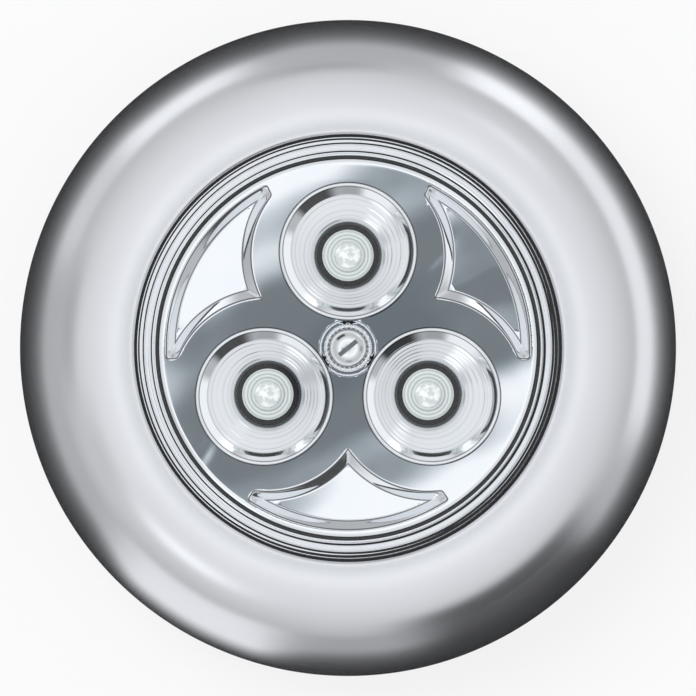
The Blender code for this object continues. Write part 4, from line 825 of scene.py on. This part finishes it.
def cup_fall(radius, angle):
    """How far a cup's slope is below the plain one: it falls early to the right, late at the bottom."""
    share = min(max((SLOPE_OUTER_RADIUS - radius) / (SLOPE_OUTER_RADIUS - SLOPE_INNER_RADIUS), 0.0), 1.0)
    bulge = SLOPE_BULGE * (1.0 - abs(2.0 * share - 1.0))
    return bulge * (near_side(angle, *RIGHT_SIDE) - near_side(angle, *BOTTOM_SIDE))


def rounded_profile(points):
    """Cut a profile's corners so that it turns smoothly, keeping its two ends."""
    result = [points[0]]
    for first, second in zip(points, points[1:]):
        start = Vector(first)
        end = Vector(second)
        result += [tuple(start.lerp(end, share)) for share in (CORNER_CUT, 1.0 - CORNER_CUT)]
    result.append(points[-1])
    return result


led_centres = [polar(LED_PITCH, angle) for angle in LED_ANGLES]
cup_centres = [polar(LED_PITCH + CUP_SHIFT, angle) for angle in LED_ANGLES]


def pocket_arcs(angle):
    """The arcs of a pocket's top edge, the rim's first, each with its centre, radius, first and last
    angle and the way inwards; and the pocket's three corners, the innermost first."""
    half = math.radians(POCKET_TO_CUP)
    beside = LED_PITCH * math.sin(half)
    apex = polar(LED_PITCH * math.cos(half) + math.sqrt(POCKET_SIDE_RADIUS ** 2 - beside ** 2), angle)
    arcs = [(CENTRE, POCKET_RIM_RADIUS, angle - POCKET_SPREAD, angle + POCKET_SPREAD, -1.0)]
    corners = [apex]
    for side in (-1, 1):
        centre = polar(LED_PITCH, angle + side * POCKET_TO_CUP)
        tip = polar(POCKET_RIM_RADIUS - POCKET_WALL / 2, angle + side * POCKET_SPREAD)
        corners.append(tip)
        first = math.atan2(apex.y - centre.y, apex.x - centre.x)
        last = math.atan2(tip.y - centre.y, tip.x - centre.x)
        sweep = (last - first + math.pi) % (2 * math.pi) - math.pi
        arcs.append((centre, POCKET_SIDE_RADIUS, math.degrees(first), math.degrees(first + sweep), 1.0))
    return arcs, corners


pocket_edges = {angle: pocket_arcs(angle) for angle in POCKET_ANGLES}
pocket_corners = [corner for arcs, corners in pocket_edges.values() for corner in corners]


def soft_least(first, second, width):
    """The smaller of two numbers, with the change from one to the other rounded."""
    near = max(width - abs(first - second), 0.0) / width
    return min(first, second) - near * near * width / 4


def pocket_reach(x, y):
    """How far a place lies inside the nearest pocket's top edge, and that pocket's middle angle."""
    radius = math.hypot(x, y)
    turn = math.degrees(math.atan2(y, x))
    angle = min(POCKET_ANGLES, key=lambda middle: angle_between(turn, middle))
    first, second = [math.hypot(x - arc[0].x, y - arc[0].y) - POCKET_SIDE_RADIUS
                     for arc in pocket_edges[angle][0][1:]]
    reach = soft_least(first, second, POCKET_CORNER)
    reach = soft_least(reach, POCKET_RIM_RADIUS - radius, POCKET_CORNER)
    end = math.radians(POCKET_SPREAD - angle_between(turn, angle)) * radius
    return soft_least(reach, end, POCKET_TIP), angle


def wall_fall(reach):
    """Depth below the plate across a pocket's wall: straight, with a round edge and a round foot."""
    slope = POCKET_DEPTH / POCKET_WALL

    def ramp(past):
        share = min(max((past + POCKET_FILLET) / (2 * POCKET_FILLET), 0.0), 1.0)
        return POCKET_FILLET * share * share + max(past - POCKET_FILLET, 0.0)

    return slope * (ramp(reach) - ramp(reach - POCKET_WALL))


def plate_wave(x, y):
    """The slight unevenness of a thin moulding, with two long shallow dents."""
    waves = sum(math.sin(turn_x * x + turn_y * y + start) for turn_x, turn_y, start in WAVES)
    wave = WAVE_HEIGHT * waves
    for dent_x, dent_y, turn, length, width, depth in DENTS:
        way = polar(1.0, turn)
        along = ((x - dent_x) * way.x + (y - dent_y) * way.y) / length
        aside = ((y - dent_y) * way.x - (x - dent_x) * way.y) / width
        wave -= depth * math.exp(-(along * along + aside * aside) / 2)
    return wave


def plate_height(x, y):
    """Height of the reflector's plate: crown, pockets, well and rolled edge."""
    radius = math.hypot(x, y)
    level = PLATE_LEVEL - PLATE_DROP * (radius / REFLECTOR_RADIUS) ** 2 + plate_wave(x, y)
    reach, pocket = pocket_reach(x, y)
    if reach > -POCKET_FILLET:
        apex = pocket_edges[pocket][1][0]
        past_middle = math.hypot(x - apex.x, y - apex.y) - POCKET_MIDDLE
        level -= wall_fall(reach) + POCKET_SLOPE * past_middle * blend(reach, 0.0, POCKET_WALL)
    if radius > REFLECTOR_RADIUS - EDGE_ROLL:
        past = radius - REFLECTOR_RADIUS + EDGE_ROLL
        level -= EDGE_SLOPE / 2 * (past * min(past / EDGE_BEND, 1.0) + max(past - EDGE_BEND, 0.0))
    if radius < WELL_RADIUS + WELL_EDGE:
        from_cup = min((Vector((x, y, 0.0)) - centre).length for centre in cup_centres) - CUP_RADIUS
        wall = min(WELL_RADIUS + WELL_OVERLAP - radius, from_cup)
        level += (WELL_LEVEL - level) * blend(wall, 0.0, WELL_EDGE)
    return level


def plate_points():
    """Points spread over the plate, close together across the pockets' walls, the well and the edge."""
    points = []
    edge_room = EDGE_ROLL * EDGE_ROLL_ROOM

    def off_cups(x, y, margin=CUP_MARGIN):
        return all(math.hypot(x - c.x, y - c.y) > CUP_RADIUS + margin for c in cup_centres)

    def off_corners(x, y):
        return all(math.hypot(x - c.x, y - c.y) > CORNER_ROOM for c in pocket_corners)

    def off_pockets(x, y):
        return pocket_reach(x, y)[0] < -POCKET_FILLET

    def by_corner(x, y):
        close = not off_corners(x, y) and math.hypot(x, y) < REFLECTOR_RADIUS - CORNER_OFF_EDGE
        return close and CORNER_REACH[0] < pocket_reach(x, y)[0] < CORNER_REACH[1]

    def in_open(x, y):
        clear = math.hypot(x, y) < REFLECTOR_RADIUS - edge_room and off_cups(x, y, OPEN_OFF_CUPS)
        return clear and not OPEN_REACH[0] < pocket_reach(x, y)[0] < OPEN_REACH[1]

    def add_ring(centre, radius, count, keep=lambda x, y: True):
        for i in range(count):
            turn = 2 * math.pi * i / count
            x = centre.x + radius * math.cos(turn)
            y = centre.y + radius * math.sin(turn)
            if keep(x, y):
                points.append((x, y))

    def add_grid(centre, spacing, rows, keep):
        for j in range(-rows, rows + 1):
            for i in range(-rows, rows + 1):
                x = centre.x + (i + 0.5 * (j % 2)) * spacing
                y = centre.y + j * spacing * ROW_SHARE
                if keep(x, y):
                    points.append((x, y))

    for centre in cup_centres:
        add_ring(centre, CUP_RADIUS, CUP_STEPS)
        for offset in CUP_OFFSETS:
            add_ring(centre, CUP_RADIUS + offset, CUP_STEPS, off_cups)
    for i in range(EDGE_ROWS):
        share = 1 - i / (EDGE_ROWS - 1)
        add_ring(CENTRE, REFLECTOR_RADIUS - edge_room * share, SKIRT_STEPS, off_pockets)
    for i in range(WELL_ROWS):
        add_ring(CENTRE, WELL_RADIUS - WELL_EDGE + WELL_ROW_SPACING * i, WELL_STEPS, off_cups)
    for arcs, corners in pocket_edges.values():
        for centre, radius, first, last, inwards in arcs:
            count = math.ceil(math.radians(abs(last - first)) * radius / WALL_SPACING)
            for i in range(-WALL_RUN_ON, count + WALL_RUN_ON + 1):
                turn = first + (last - first) * i / count
                for offset in WALL_OFFSETS:
                    x, y, z = centre + polar(radius + offset * inwards, turn)
                    near = abs(pocket_reach(x, y)[0] - offset) < WALL_TOLERANCE
                    if near and off_corners(x, y) and off_cups(x, y, WALL_OFF_CUPS):
                        points.append((x, y))
    for corner in pocket_corners:
        add_grid(corner, CORNER_SPACING, math.ceil(CORNER_ROOM / CORNER_SPACING), by_corner)
    add_grid(CENTRE, OPEN_SPACING, int(REFLECTOR_RADIUS / OPEN_SPACING) + 1, in_open)
    seen = {}
    for x, y in points:
        seen.setdefault((round(x * POINTS_PER_MM), round(y * POINTS_PER_MM)), (x, y))
    return list(seen.values())


def make_reflector():
    """The chromed reflector: plate with pockets, three ringed cups, well and rolled edge."""
    points = [Vector(point) for point in plate_points()]
    plate = delaunay_2d_cdt(points, [], [], 0, FLAT_TOLERANCE)
    placed = plate[0]
    vertices = [(p.x, p.y, plate_height(p.x, p.y)) for p in placed]
    faces = []
    for triangle in plate[2]:
        x = sum(placed[i].x for i in triangle) / 3
        y = sum(placed[i].y for i in triangle) / 3
        if all(math.hypot(x - c.x, y - c.y) > CUP_RADIUS * CUP_SHARE for c in cup_centres):
            faces.append(tuple(triangle))
    cup = cup_outline()
    for centre, lip_centre in zip(led_centres, cup_centres):
        lean = (lip_centre - centre) / CUP_SHIFT
        more, added = lathe(cup, CUP_STEPS, centre, start=len(vertices), lean=lean)
        for x, y, z in more:
            if abs(z - PLATE_LEVEL) < LEVEL_TOLERANCE:
                z = plate_height(x, y)
            else:
                out_x = x - lip_centre.x
                out_y = y - lip_centre.y
                z -= cup_fall(math.hypot(out_x, out_y), math.degrees(math.atan2(out_y, out_x)))
            vertices.append((x, y, z))
        faces += added
    skirt = [(REFLECTOR_RADIUS, PLATE_LEVEL - SKIRT_DROP), (REFLECTOR_RADIUS, SKIRT_FOOT),
             (SKIRT_INNER_RADIUS, SKIRT_FOOT), (SKIRT_INNER_RADIUS, SKIRT_INNER_TOP)]
    more, added = lathe(skirt, SKIRT_STEPS, start=len(vertices))
    vertices += more
    faces += added
    new_piece("reflector_shell", vertices, faces, chrome_plate(), "light_body", ["reflector"],
              smooth=60.0)


def make_edge_band():
    """The bright stepped band moulded into the lens's edge, over black painted shade that shows between
    its steps.
    """
    foot = BAND_LEVEL - BAND_DEPTH
    base = BAND_LEVEL - BAND_BASE_DEPTH
    vertices = []
    for i in range(BAND_STEPS):
        angle = 360.0 * i / BAND_STEPS
        shade = (0.5 + 0.5 * math.cos(math.radians(angle - BAND_DARK_SIDE))) ** BAND_DARK_POWER
        radii = [LENS_RADIUS - BAND_OUTSIDE]
        for middle, narrow, wide in BAND_GAPS:
            half = (narrow + (wide - narrow) * shade) / 2
            radii += [middle + half, middle - half]
        radii.append(LENS_INNER_RADIUS - BAND_INSIDE)
        column = [(BAND_BASE_RADIUS, foot)]
        for outer, inner in zip(radii[::2], radii[1::2]):
            width = outer - inner
            column.append((outer, foot))
            for j in range(BAND_BOW_POINTS + 1):
                share = j / BAND_BOW_POINTS
                rise = BAND_BOW * width * (1.0 - (2.0 * share - 1.0) ** 2)
                column.append((outer - width * share, BAND_LEVEL - BAND_EDGE_DROP + rise))
            column.append((inner, foot))
        column += [(radii[-1], base), (BAND_BASE_RADIUS, base)]
        vertices += [polar(radius, angle, level) for radius, level in column]
    faces = grid_faces(BAND_STEPS, len(column))
    band = new_piece("lens_edge_band", vertices, faces, edge_plating(), "push_lens", None,
                     smooth=50.0)
    # Faces below the steps take the black of painted shade
    band.data.materials.append(plain_moulding(*EDGE_SHADOW))
    for face in band.data.polygons:
        if face.center.z < (BAND_LEVEL - BAND_BLACK_DROP) * MM:
            face.material_index = 1


def make_legs(foot, top):
    """The lens's three legs; the one over the switch's stem is a little shorter."""
    plastic = lens_plastic()
    across = LEG_THICKNESS / 2 - LEG_ROUND
    aside = LEG_WIDTH / 2 - LEG_ROUND
    corners = ((across, aside), (-across, aside), (-across, -aside), (across, -aside))
    for i, angle in enumerate(LEG_ANGLES):
        low = foot + (PUSH_LEG_SHORTER if i == 0 else 0.0)
        points = []
        for inset, level in ((LEG_CHAMFER, low), (0.0, low + LEG_CHAMFER), (0.0, top)):
            for corner, (x, y) in enumerate(corners):
                for step in range(LEG_CORNER_POINTS + 1):
                    turn = 90.0 * (corner + step / LEG_CORNER_POINTS)
                    points.append(Vector((LEG_RADIUS + x, y, level)) + polar(LEG_ROUND - inset, turn))
        count = len(points) // 3
        faces = [tuple(reversed(range(count))), tuple(range(2 * count, 3 * count))]
        faces += grid_faces(3, count, columns_close=False)
        vertices = [polar(point.x, angle, point.z) + polar(point.y, angle + 90.0) for point in points]
        new_piece(f"lens_leg_{i + 1}", vertices, faces, plastic, "push_lens", None,
                  smooth=30.0)


def make_lens():
    """The clear push lens: a shallow dome whose edge steps down in fine rings, with flange and legs."""
    low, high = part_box("lens")
    top = high.z / MM
    profile = []
    for i in range(DOME_POINTS + 1):
        radius = DOME_RADIUS * i / DOME_POINTS
        profile.append((radius, top - DOME_CROWN * (radius / DOME_SPAN) ** 2))
    profile += [(radius, top - DOME_CROWN - drop) for radius, drop in LENS_EDGE]
    profile += [(LENS_RADIUS, FLANGE_TOP), (FLANGE_RADIUS, FLANGE_TOP), (FLANGE_RADIUS, FLANGE_LOW),
                (LENS_RADIUS, FLANGE_LOW), (LENS_INNER_RADIUS, FLANGE_LOW),
                (LENS_INNER_RADIUS, INNER_EDGE_LEVEL)]
    for i in range(INNER_POINTS, -1, -1):
        radius = INNER_SPAN * i / INNER_POINTS
        profile.append((radius, INNER_LEVEL - INNER_CROWN * (radius / INNER_SPAN) ** 2))
    vertices, faces = lathe(profile, LENS_STEPS)
    make_edge_band()
    make_legs(low.z / MM, FLANGE_LOW + LEG_SEAT)
    lens = new_piece("lens_cover", vertices, faces, lens_plastic(), "push_lens", ["lens"],
                     smooth=30.0)
    # Left out of reflections, diffuse light and shadows, so that it doesn't dim the chrome under it
    lens.visible_glossy = False
    lens.visible_diffuse = False
    lens.visible_shadow = False


def make_diodes():
    """Each diode is a domed body with a ringed rim over a bright core; the three are alike."""
    resin = diode_resin()
    core = diode_core()
    for i, centre in enumerate(led_centres):
        low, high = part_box(f"led_{i + 1}")
        top = high.z / MM
        body = [(radius, top - drop) for radius, drop in DIODE_DOME]
        body += [(radius, DIODE_FOOT + rise) for radius, rise in DIODE_BARREL]
        vertices, faces = lathe(rounded_profile(body), DIODE_STEPS)
        new_piece(f"led_{i + 1}_body", vertices, faces, resin, "light_body", [f"led_{i + 1}"],
                  smooth=35.0, origin=centre)
        inner = [(radius, top - drop) for radius, drop in CORE_DOME]
        inner += [(CORE_RADIUS, DIODE_FOOT + CORE_FOOT), (0.0, DIODE_FOOT + CORE_FOOT)]
        vertices, faces = lathe(rounded_profile(inner), CORE_STEPS)
        new_piece(f"led_{i + 1}_core", vertices, faces, core, "light_body", None, origin=centre)


def cut_slot(piece, level):
    """Cut the slot into the screw's head, with the slot's middle at a level."""
    bpy.ops.mesh.primitive_cube_add(size=1.0)
    cutter = bpy.context.object
    cutter.name = "slot_cutter"
    cutter.scale = (SLOT_LENGTH * MM, SLOT_WIDTH * MM, SLOT_DEPTH * MM)
    cutter.rotation_euler = (0.0, 0.0, math.radians(SLOT_ANGLE))
    cutter.location = (0.0, 0.0, level * MM)
    bpy.context.view_layer.update()
    cut = piece.modifiers.new("slot", 'BOOLEAN')
    cut.operation = 'DIFFERENCE'
    cut.solver = 'EXACT'
    cut.object = cutter
    graph = bpy.context.evaluated_depsgraph_get()
    mesh = bpy.data.meshes.new_from_object(piece.evaluated_get(graph))
    piece.modifiers.clear()
    piece.data = mesh
    mesh.shade_smooth()
    mesh.set_sharp_from_angle(angle=math.radians(SCREW_SMOOTH))
    bpy.data.objects.remove(cutter, do_unlink=True)


def make_washer(level, metal):
    """The washer under the screw, whose fine teeth stand up at an even spacing."""
    steps = WASHER_TEETH * 4
    vertices = []
    for radius, flat, raised in WASHER_ROWS:
        for i in range(steps):
            on_tooth = i % 4 in (1, 2)
            turn = 360.0 * (i + (TOOTH_SPREAD if on_tooth else 0.0)) / steps
            vertices.append(polar(radius, turn, level + (raised if on_tooth else flat)))
    faces = grid_faces(len(WASHER_ROWS), steps)
    new_piece("screw_washer", vertices, faces, metal, "light_body", None, smooth=25.0)


def make_screw():
    """The slotted screw in the middle well, with a dished head, over a washer with fine teeth."""
    low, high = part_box("centre_screw")
    top = high.z / MM
    metal = bright_screw()
    profile = [(radius, top - drop) for radius, drop in SCREW_HEAD] + list(SCREW_SHAFT)
    vertices, faces = lathe(rounded_profile(profile), SCREW_STEPS)
    piece = new_piece("screw_head", vertices, faces, metal, "light_body", ["centre_screw"],
                      smooth=SCREW_SMOOTH)
    cut_slot(piece, top - SLOT_DROP)
    make_washer(top - WASHER_DROP, metal)


def coil_points(radius, height):
    """Rings of points round the wire of a coil that rises more slowly at both its ends."""
    count = round(RETURN_TURNS * RETURN_STEPS)
    half = RETURN_WIRE / 2
    start = blend(0.0, -RETURN_END, 1.0 + RETURN_END)
    points = []
    for j in range(count + 1):
        share = j / count
        rise = (blend(share, -RETURN_END, 1.0 + RETURN_END) - start) / (1.0 - 2.0 * start)
        level = half + (height - RETURN_WIRE) * rise
        for k in range(RETURN_SIDES):
            turn = 2 * math.pi * k / RETURN_SIDES
            points.append(polar(radius + half * math.cos(turn), 360.0 * RETURN_TURNS * share,
                                level - half * math.sin(turn)))
    return points


def make_return_springs():
    """The coils under the lens's flange, each fitted to the box of the node it replaces."""
    metal = bright_metal(*RETURN_METAL)
    for i in range(len(LEG_ANGLES)):
        low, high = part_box(f"return_spring_{i + 1}")
        foot = low.z / MM
        height = (high.z - low.z) / MM
        middle = (low + high) / 2 / MM
        vertices = coil_points((high.y - low.y) / MM / 2 - RETURN_WIRE / 2, height)
        faces = [tuple(reversed(range(RETURN_SIDES))),
                 tuple(range(len(vertices) - RETURN_SIDES, len(vertices)))]
        faces += grid_faces(len(vertices) // RETURN_SIDES, RETURN_SIDES, columns_close=False)
        spring = new_piece(f"return_coil_{i + 1}", vertices, faces, metal, "light_body",
                           [f"return_spring_{i + 1}"], smooth=60.0,
                           origin=(middle.x, middle.y, foot))
        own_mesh(spring)


def dress_nodes():
    """Materials of the nodes that keep their own shape."""
    by_slot = {slot: plain_moulding(*look) for slot, *look in MOULDINGS}
    by_slot.update({slot: bright_metal(*look) for slot, *look in METALS})
    by_slot.update({"foam": foam_finish(), "board": board_lacquer(), "cell": cell_jacket()})
    for part in frame["record"]["subparts"]:
        node = frame["nodes"][part["node"]]
        material = by_slot.get(part.get("material_slot"))
        if material is not None:
            node.data.materials.clear()
            node.data.materials.append(material)


def stage_object(name, vertices, faces, material):
    """An object round the part, its vertices in millimetres."""
    mesh = bpy.data.meshes.new(name)
    mesh.from_pydata([Vector(v) * MM for v in vertices], [], faces)
    mesh.materials.append(material)
    made = bpy.data.objects.new(name, mesh)
    bpy.context.scene.collection.objects.link(made)
    return made


def make_floor():
    """White paper that stays white to the camera and in polished surfaces, and keeps a soft shadow."""
    count = FLOOR_SQUARES + 1
    places = [(i / FLOOR_SQUARES * 2 - 1) * FLOOR_HALF_SIZE for i in range(count)]
    vertices = [(x, y, FLOOR_LEVEL) for y in places for x in places]
    faces = grid_faces(count, count, columns_close=False, rows_close=False)
    finish = new_finish("floor_paper", {"Roughness": 0.8, "Specular IOR Level": 0.2})
    grain = finish.noise(6.0, 2.0)
    drive(finish, Base_Color=finish.mix(grain, (0.93, 0.93, 0.935), (0.95, 0.95, 0.955)))
    path = finish.add('ShaderNodeLightPath', {}, ())
    camera, glossy, through = [Value(finish, path.outputs[name]) for name in
                               ("Is Camera Ray", "Is Glossy Ray", "Is Transmission Ray")]
    share = (camera + glossy + through).math('MINIMUM', 1.0) * FLOOR_GLOW
    glow = finish.node('ShaderNodeEmission', {}, {"Color": (1.0, 1.0, 1.0, 1.0), "Strength": 1.0})
    paper = Value(finish, finish.shader.outputs[0])
    mixed = finish.node('ShaderNodeMixShader', {}, {0: share, 1: paper, 2: glow})
    output = finish.tree.nodes["Material Output"]
    finish.tree.links.new(mixed.socket, output.inputs["Surface"])
    floor = stage_object("floor", vertices, faces, finish.material)
    floor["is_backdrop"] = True


def window(azimuth, middle, half, soft):
    """1 within a range of azimuth, falling off over a soft edge."""
    turn = (azimuth - middle + 540.0).math('MODULO', 360.0) - 180.0
    return 1.0 - turn.math('ABSOLUTE').step(half - soft, half + soft)


def put(level, mask, strength):
    """Bring a level to a strength where a mask is 1."""
    return level + (strength - level) * mask


def low_panels(azimuth):
    """Brightness near the horizon: white to the right, upper left and lower left, grey between."""
    level = LOW_LEVEL
    for middle, half, soft, strength in LOW_PANELS:
        level = put(level, window(azimuth, middle, half, soft), strength)
    return level


def make_card():
    """The table as polished surfaces show it: white panels with grey between, dark by the part."""
    vertices = []
    for i in range(CARD_STEPS):
        angle = 360.0 * i / CARD_STEPS
        vertices += [polar(radius, angle, CARD_LEVEL) for radius in CARD_RADII]
    faces = grid_faces(CARD_STEPS, 2, rows_close=False)
    material = bpy.data.materials.new("graded_card")
    material.use_nodes = True
    finish = Finish(material.node_tree)
    x, y, z = finish.place().axes()
    azimuth = azimuth_of(x, y)
    fade = CARD_FADE
    for middle, half, change in CARD_FADES:
        fade = window(azimuth, middle, half, FADE_SOFT) * change + fade
    reach = ((x * x + y * y) ** 0.5 - CARD_DARK_RADIUS) / fade
    strength = low_panels(azimuth) * reach.step(0.0, 1.0) + CARD_DARK
    glow = finish.node('ShaderNodeEmission', {}, {"Color": (*STUDIO_TINT, 1.0), "Strength": strength})
    output = finish.tree.nodes["Material Output"]
    finish.tree.links.new(glow.socket, output.inputs["Surface"])
    card = stage_object("graded_card", vertices, faces, material)
    card.visible_camera = False
    card.visible_diffuse = False
    card.visible_shadow = False
    card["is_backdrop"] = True


def make_world():
    """Studio all round: bright overhead but for a dark gap, panels at the sides and grey between."""
    world = bpy.data.worlds.new("studio")
    bpy.context.scene.world = world
    world.use_nodes = True
    finish = Finish(world.node_tree)
    x, y, z = finish.node('ShaderNodeTexCoord', {}, (), "Generated").axes()
    azimuth = azimuth_of(x, y)
    zenith = z.math('ARCCOSINE') * DEGREES

    def between(low, high):
        above = zenith.step(low - PANEL_SOFT, low + PANEL_SOFT)
        return above * (1.0 - zenith.step(high - PANEL_SOFT, high + PANEL_SOFT))

    def spot(across, along):
        return 1.0 - (across * across + along * along).step(*GAP_SOFT)

    stops = [(angle / 180.0, (level, level, level, 1.0)) for angle, level in SKY]
    light = finish.node('ShaderNodeValToRGB', {"stops": stops}, (zenith / 180.0,)) * SKY_SCALE
    for middle, half, low, high, strength in SIDE_PANELS:
        light = put(light, window(azimuth, middle, half, PANEL_SOFT) * between(low, high), strength)
    light = put(light, zenith.step(*HORIZON), low_panels(azimuth))
    right, up = GAP_SHARES
    gap = spot((x * right + y * up) / GAP_LENGTH, (y * right - x * up) / GAP_WIDTH)
    stand = spot((x - STAND_PLACE[0]) / STAND_LENGTH, (y - STAND_PLACE[1]) / STAND_WIDTH)
    gap = gap.math('MAXIMUM', stand)
    light = put(light, gap, GAP_LEVEL)
    tint = finish.mix(gap, STUDIO_TINT, GAP_TINT)
    path = finish.add('ShaderNodeLightPath', {}, ())
    seen = Value(finish, path.outputs["Is Camera Ray"])
    background = finish.tree.nodes["Background"]
    finish.tree.links.new(finish.mix(seen, tint, (1.0, 1.0, 1.0)).socket, background.inputs["Color"])
    finish.tree.links.new((seen + (1.0 - seen) * light).socket, background.inputs["Strength"])


def make_camera():
    """Straight above the face, with a long lens; the ring fills its share of the picture."""
    low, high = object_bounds()
    width = (high.x - low.x) / MM * PICTURE_PIXELS / RING_PIXELS
    data = bpy.data.cameras.new("camera")
    data.sensor_width = SENSOR
    data.lens = SENSOR * (CAMERA_DISTANCE - SHOULDER_LEVEL) / width
    data.clip_end = 10.0
    camera = bpy.data.objects.new("camera", data)
    camera.location = (0.0, 0.0, CAMERA_DISTANCE * MM)
    bpy.context.scene.collection.objects.link(camera)
    bpy.context.scene.camera = camera


def make_lamps():
    """A soft overhead lamp, which lifts the dull surfaces to a plain level."""
    data = bpy.data.lights.new("top_softbox", 'AREA')
    data.shape = 'DISK'
    data.size = 1.2
    data.energy = 12.0
    lamp = bpy.data.objects.new("top_softbox", data)
    lamp.location = (-0.8, 0.6, 2.0)
    lamp.rotation_euler = Vector(lamp.location).to_track_quat('Z', 'Y').to_euler()
    lamp.visible_camera = False
    lamp.visible_glossy = False
    lamp.visible_transmission = False
    bpy.context.scene.collection.objects.link(lamp)


make_ring()
make_reflector()
make_lens()
make_diodes()
make_screw()
make_return_springs()
dress_nodes()
make_floor()
make_card()
make_world()
make_lamps()
make_camera()
bpy.context.scene.view_settings.view_transform = 'Standard'
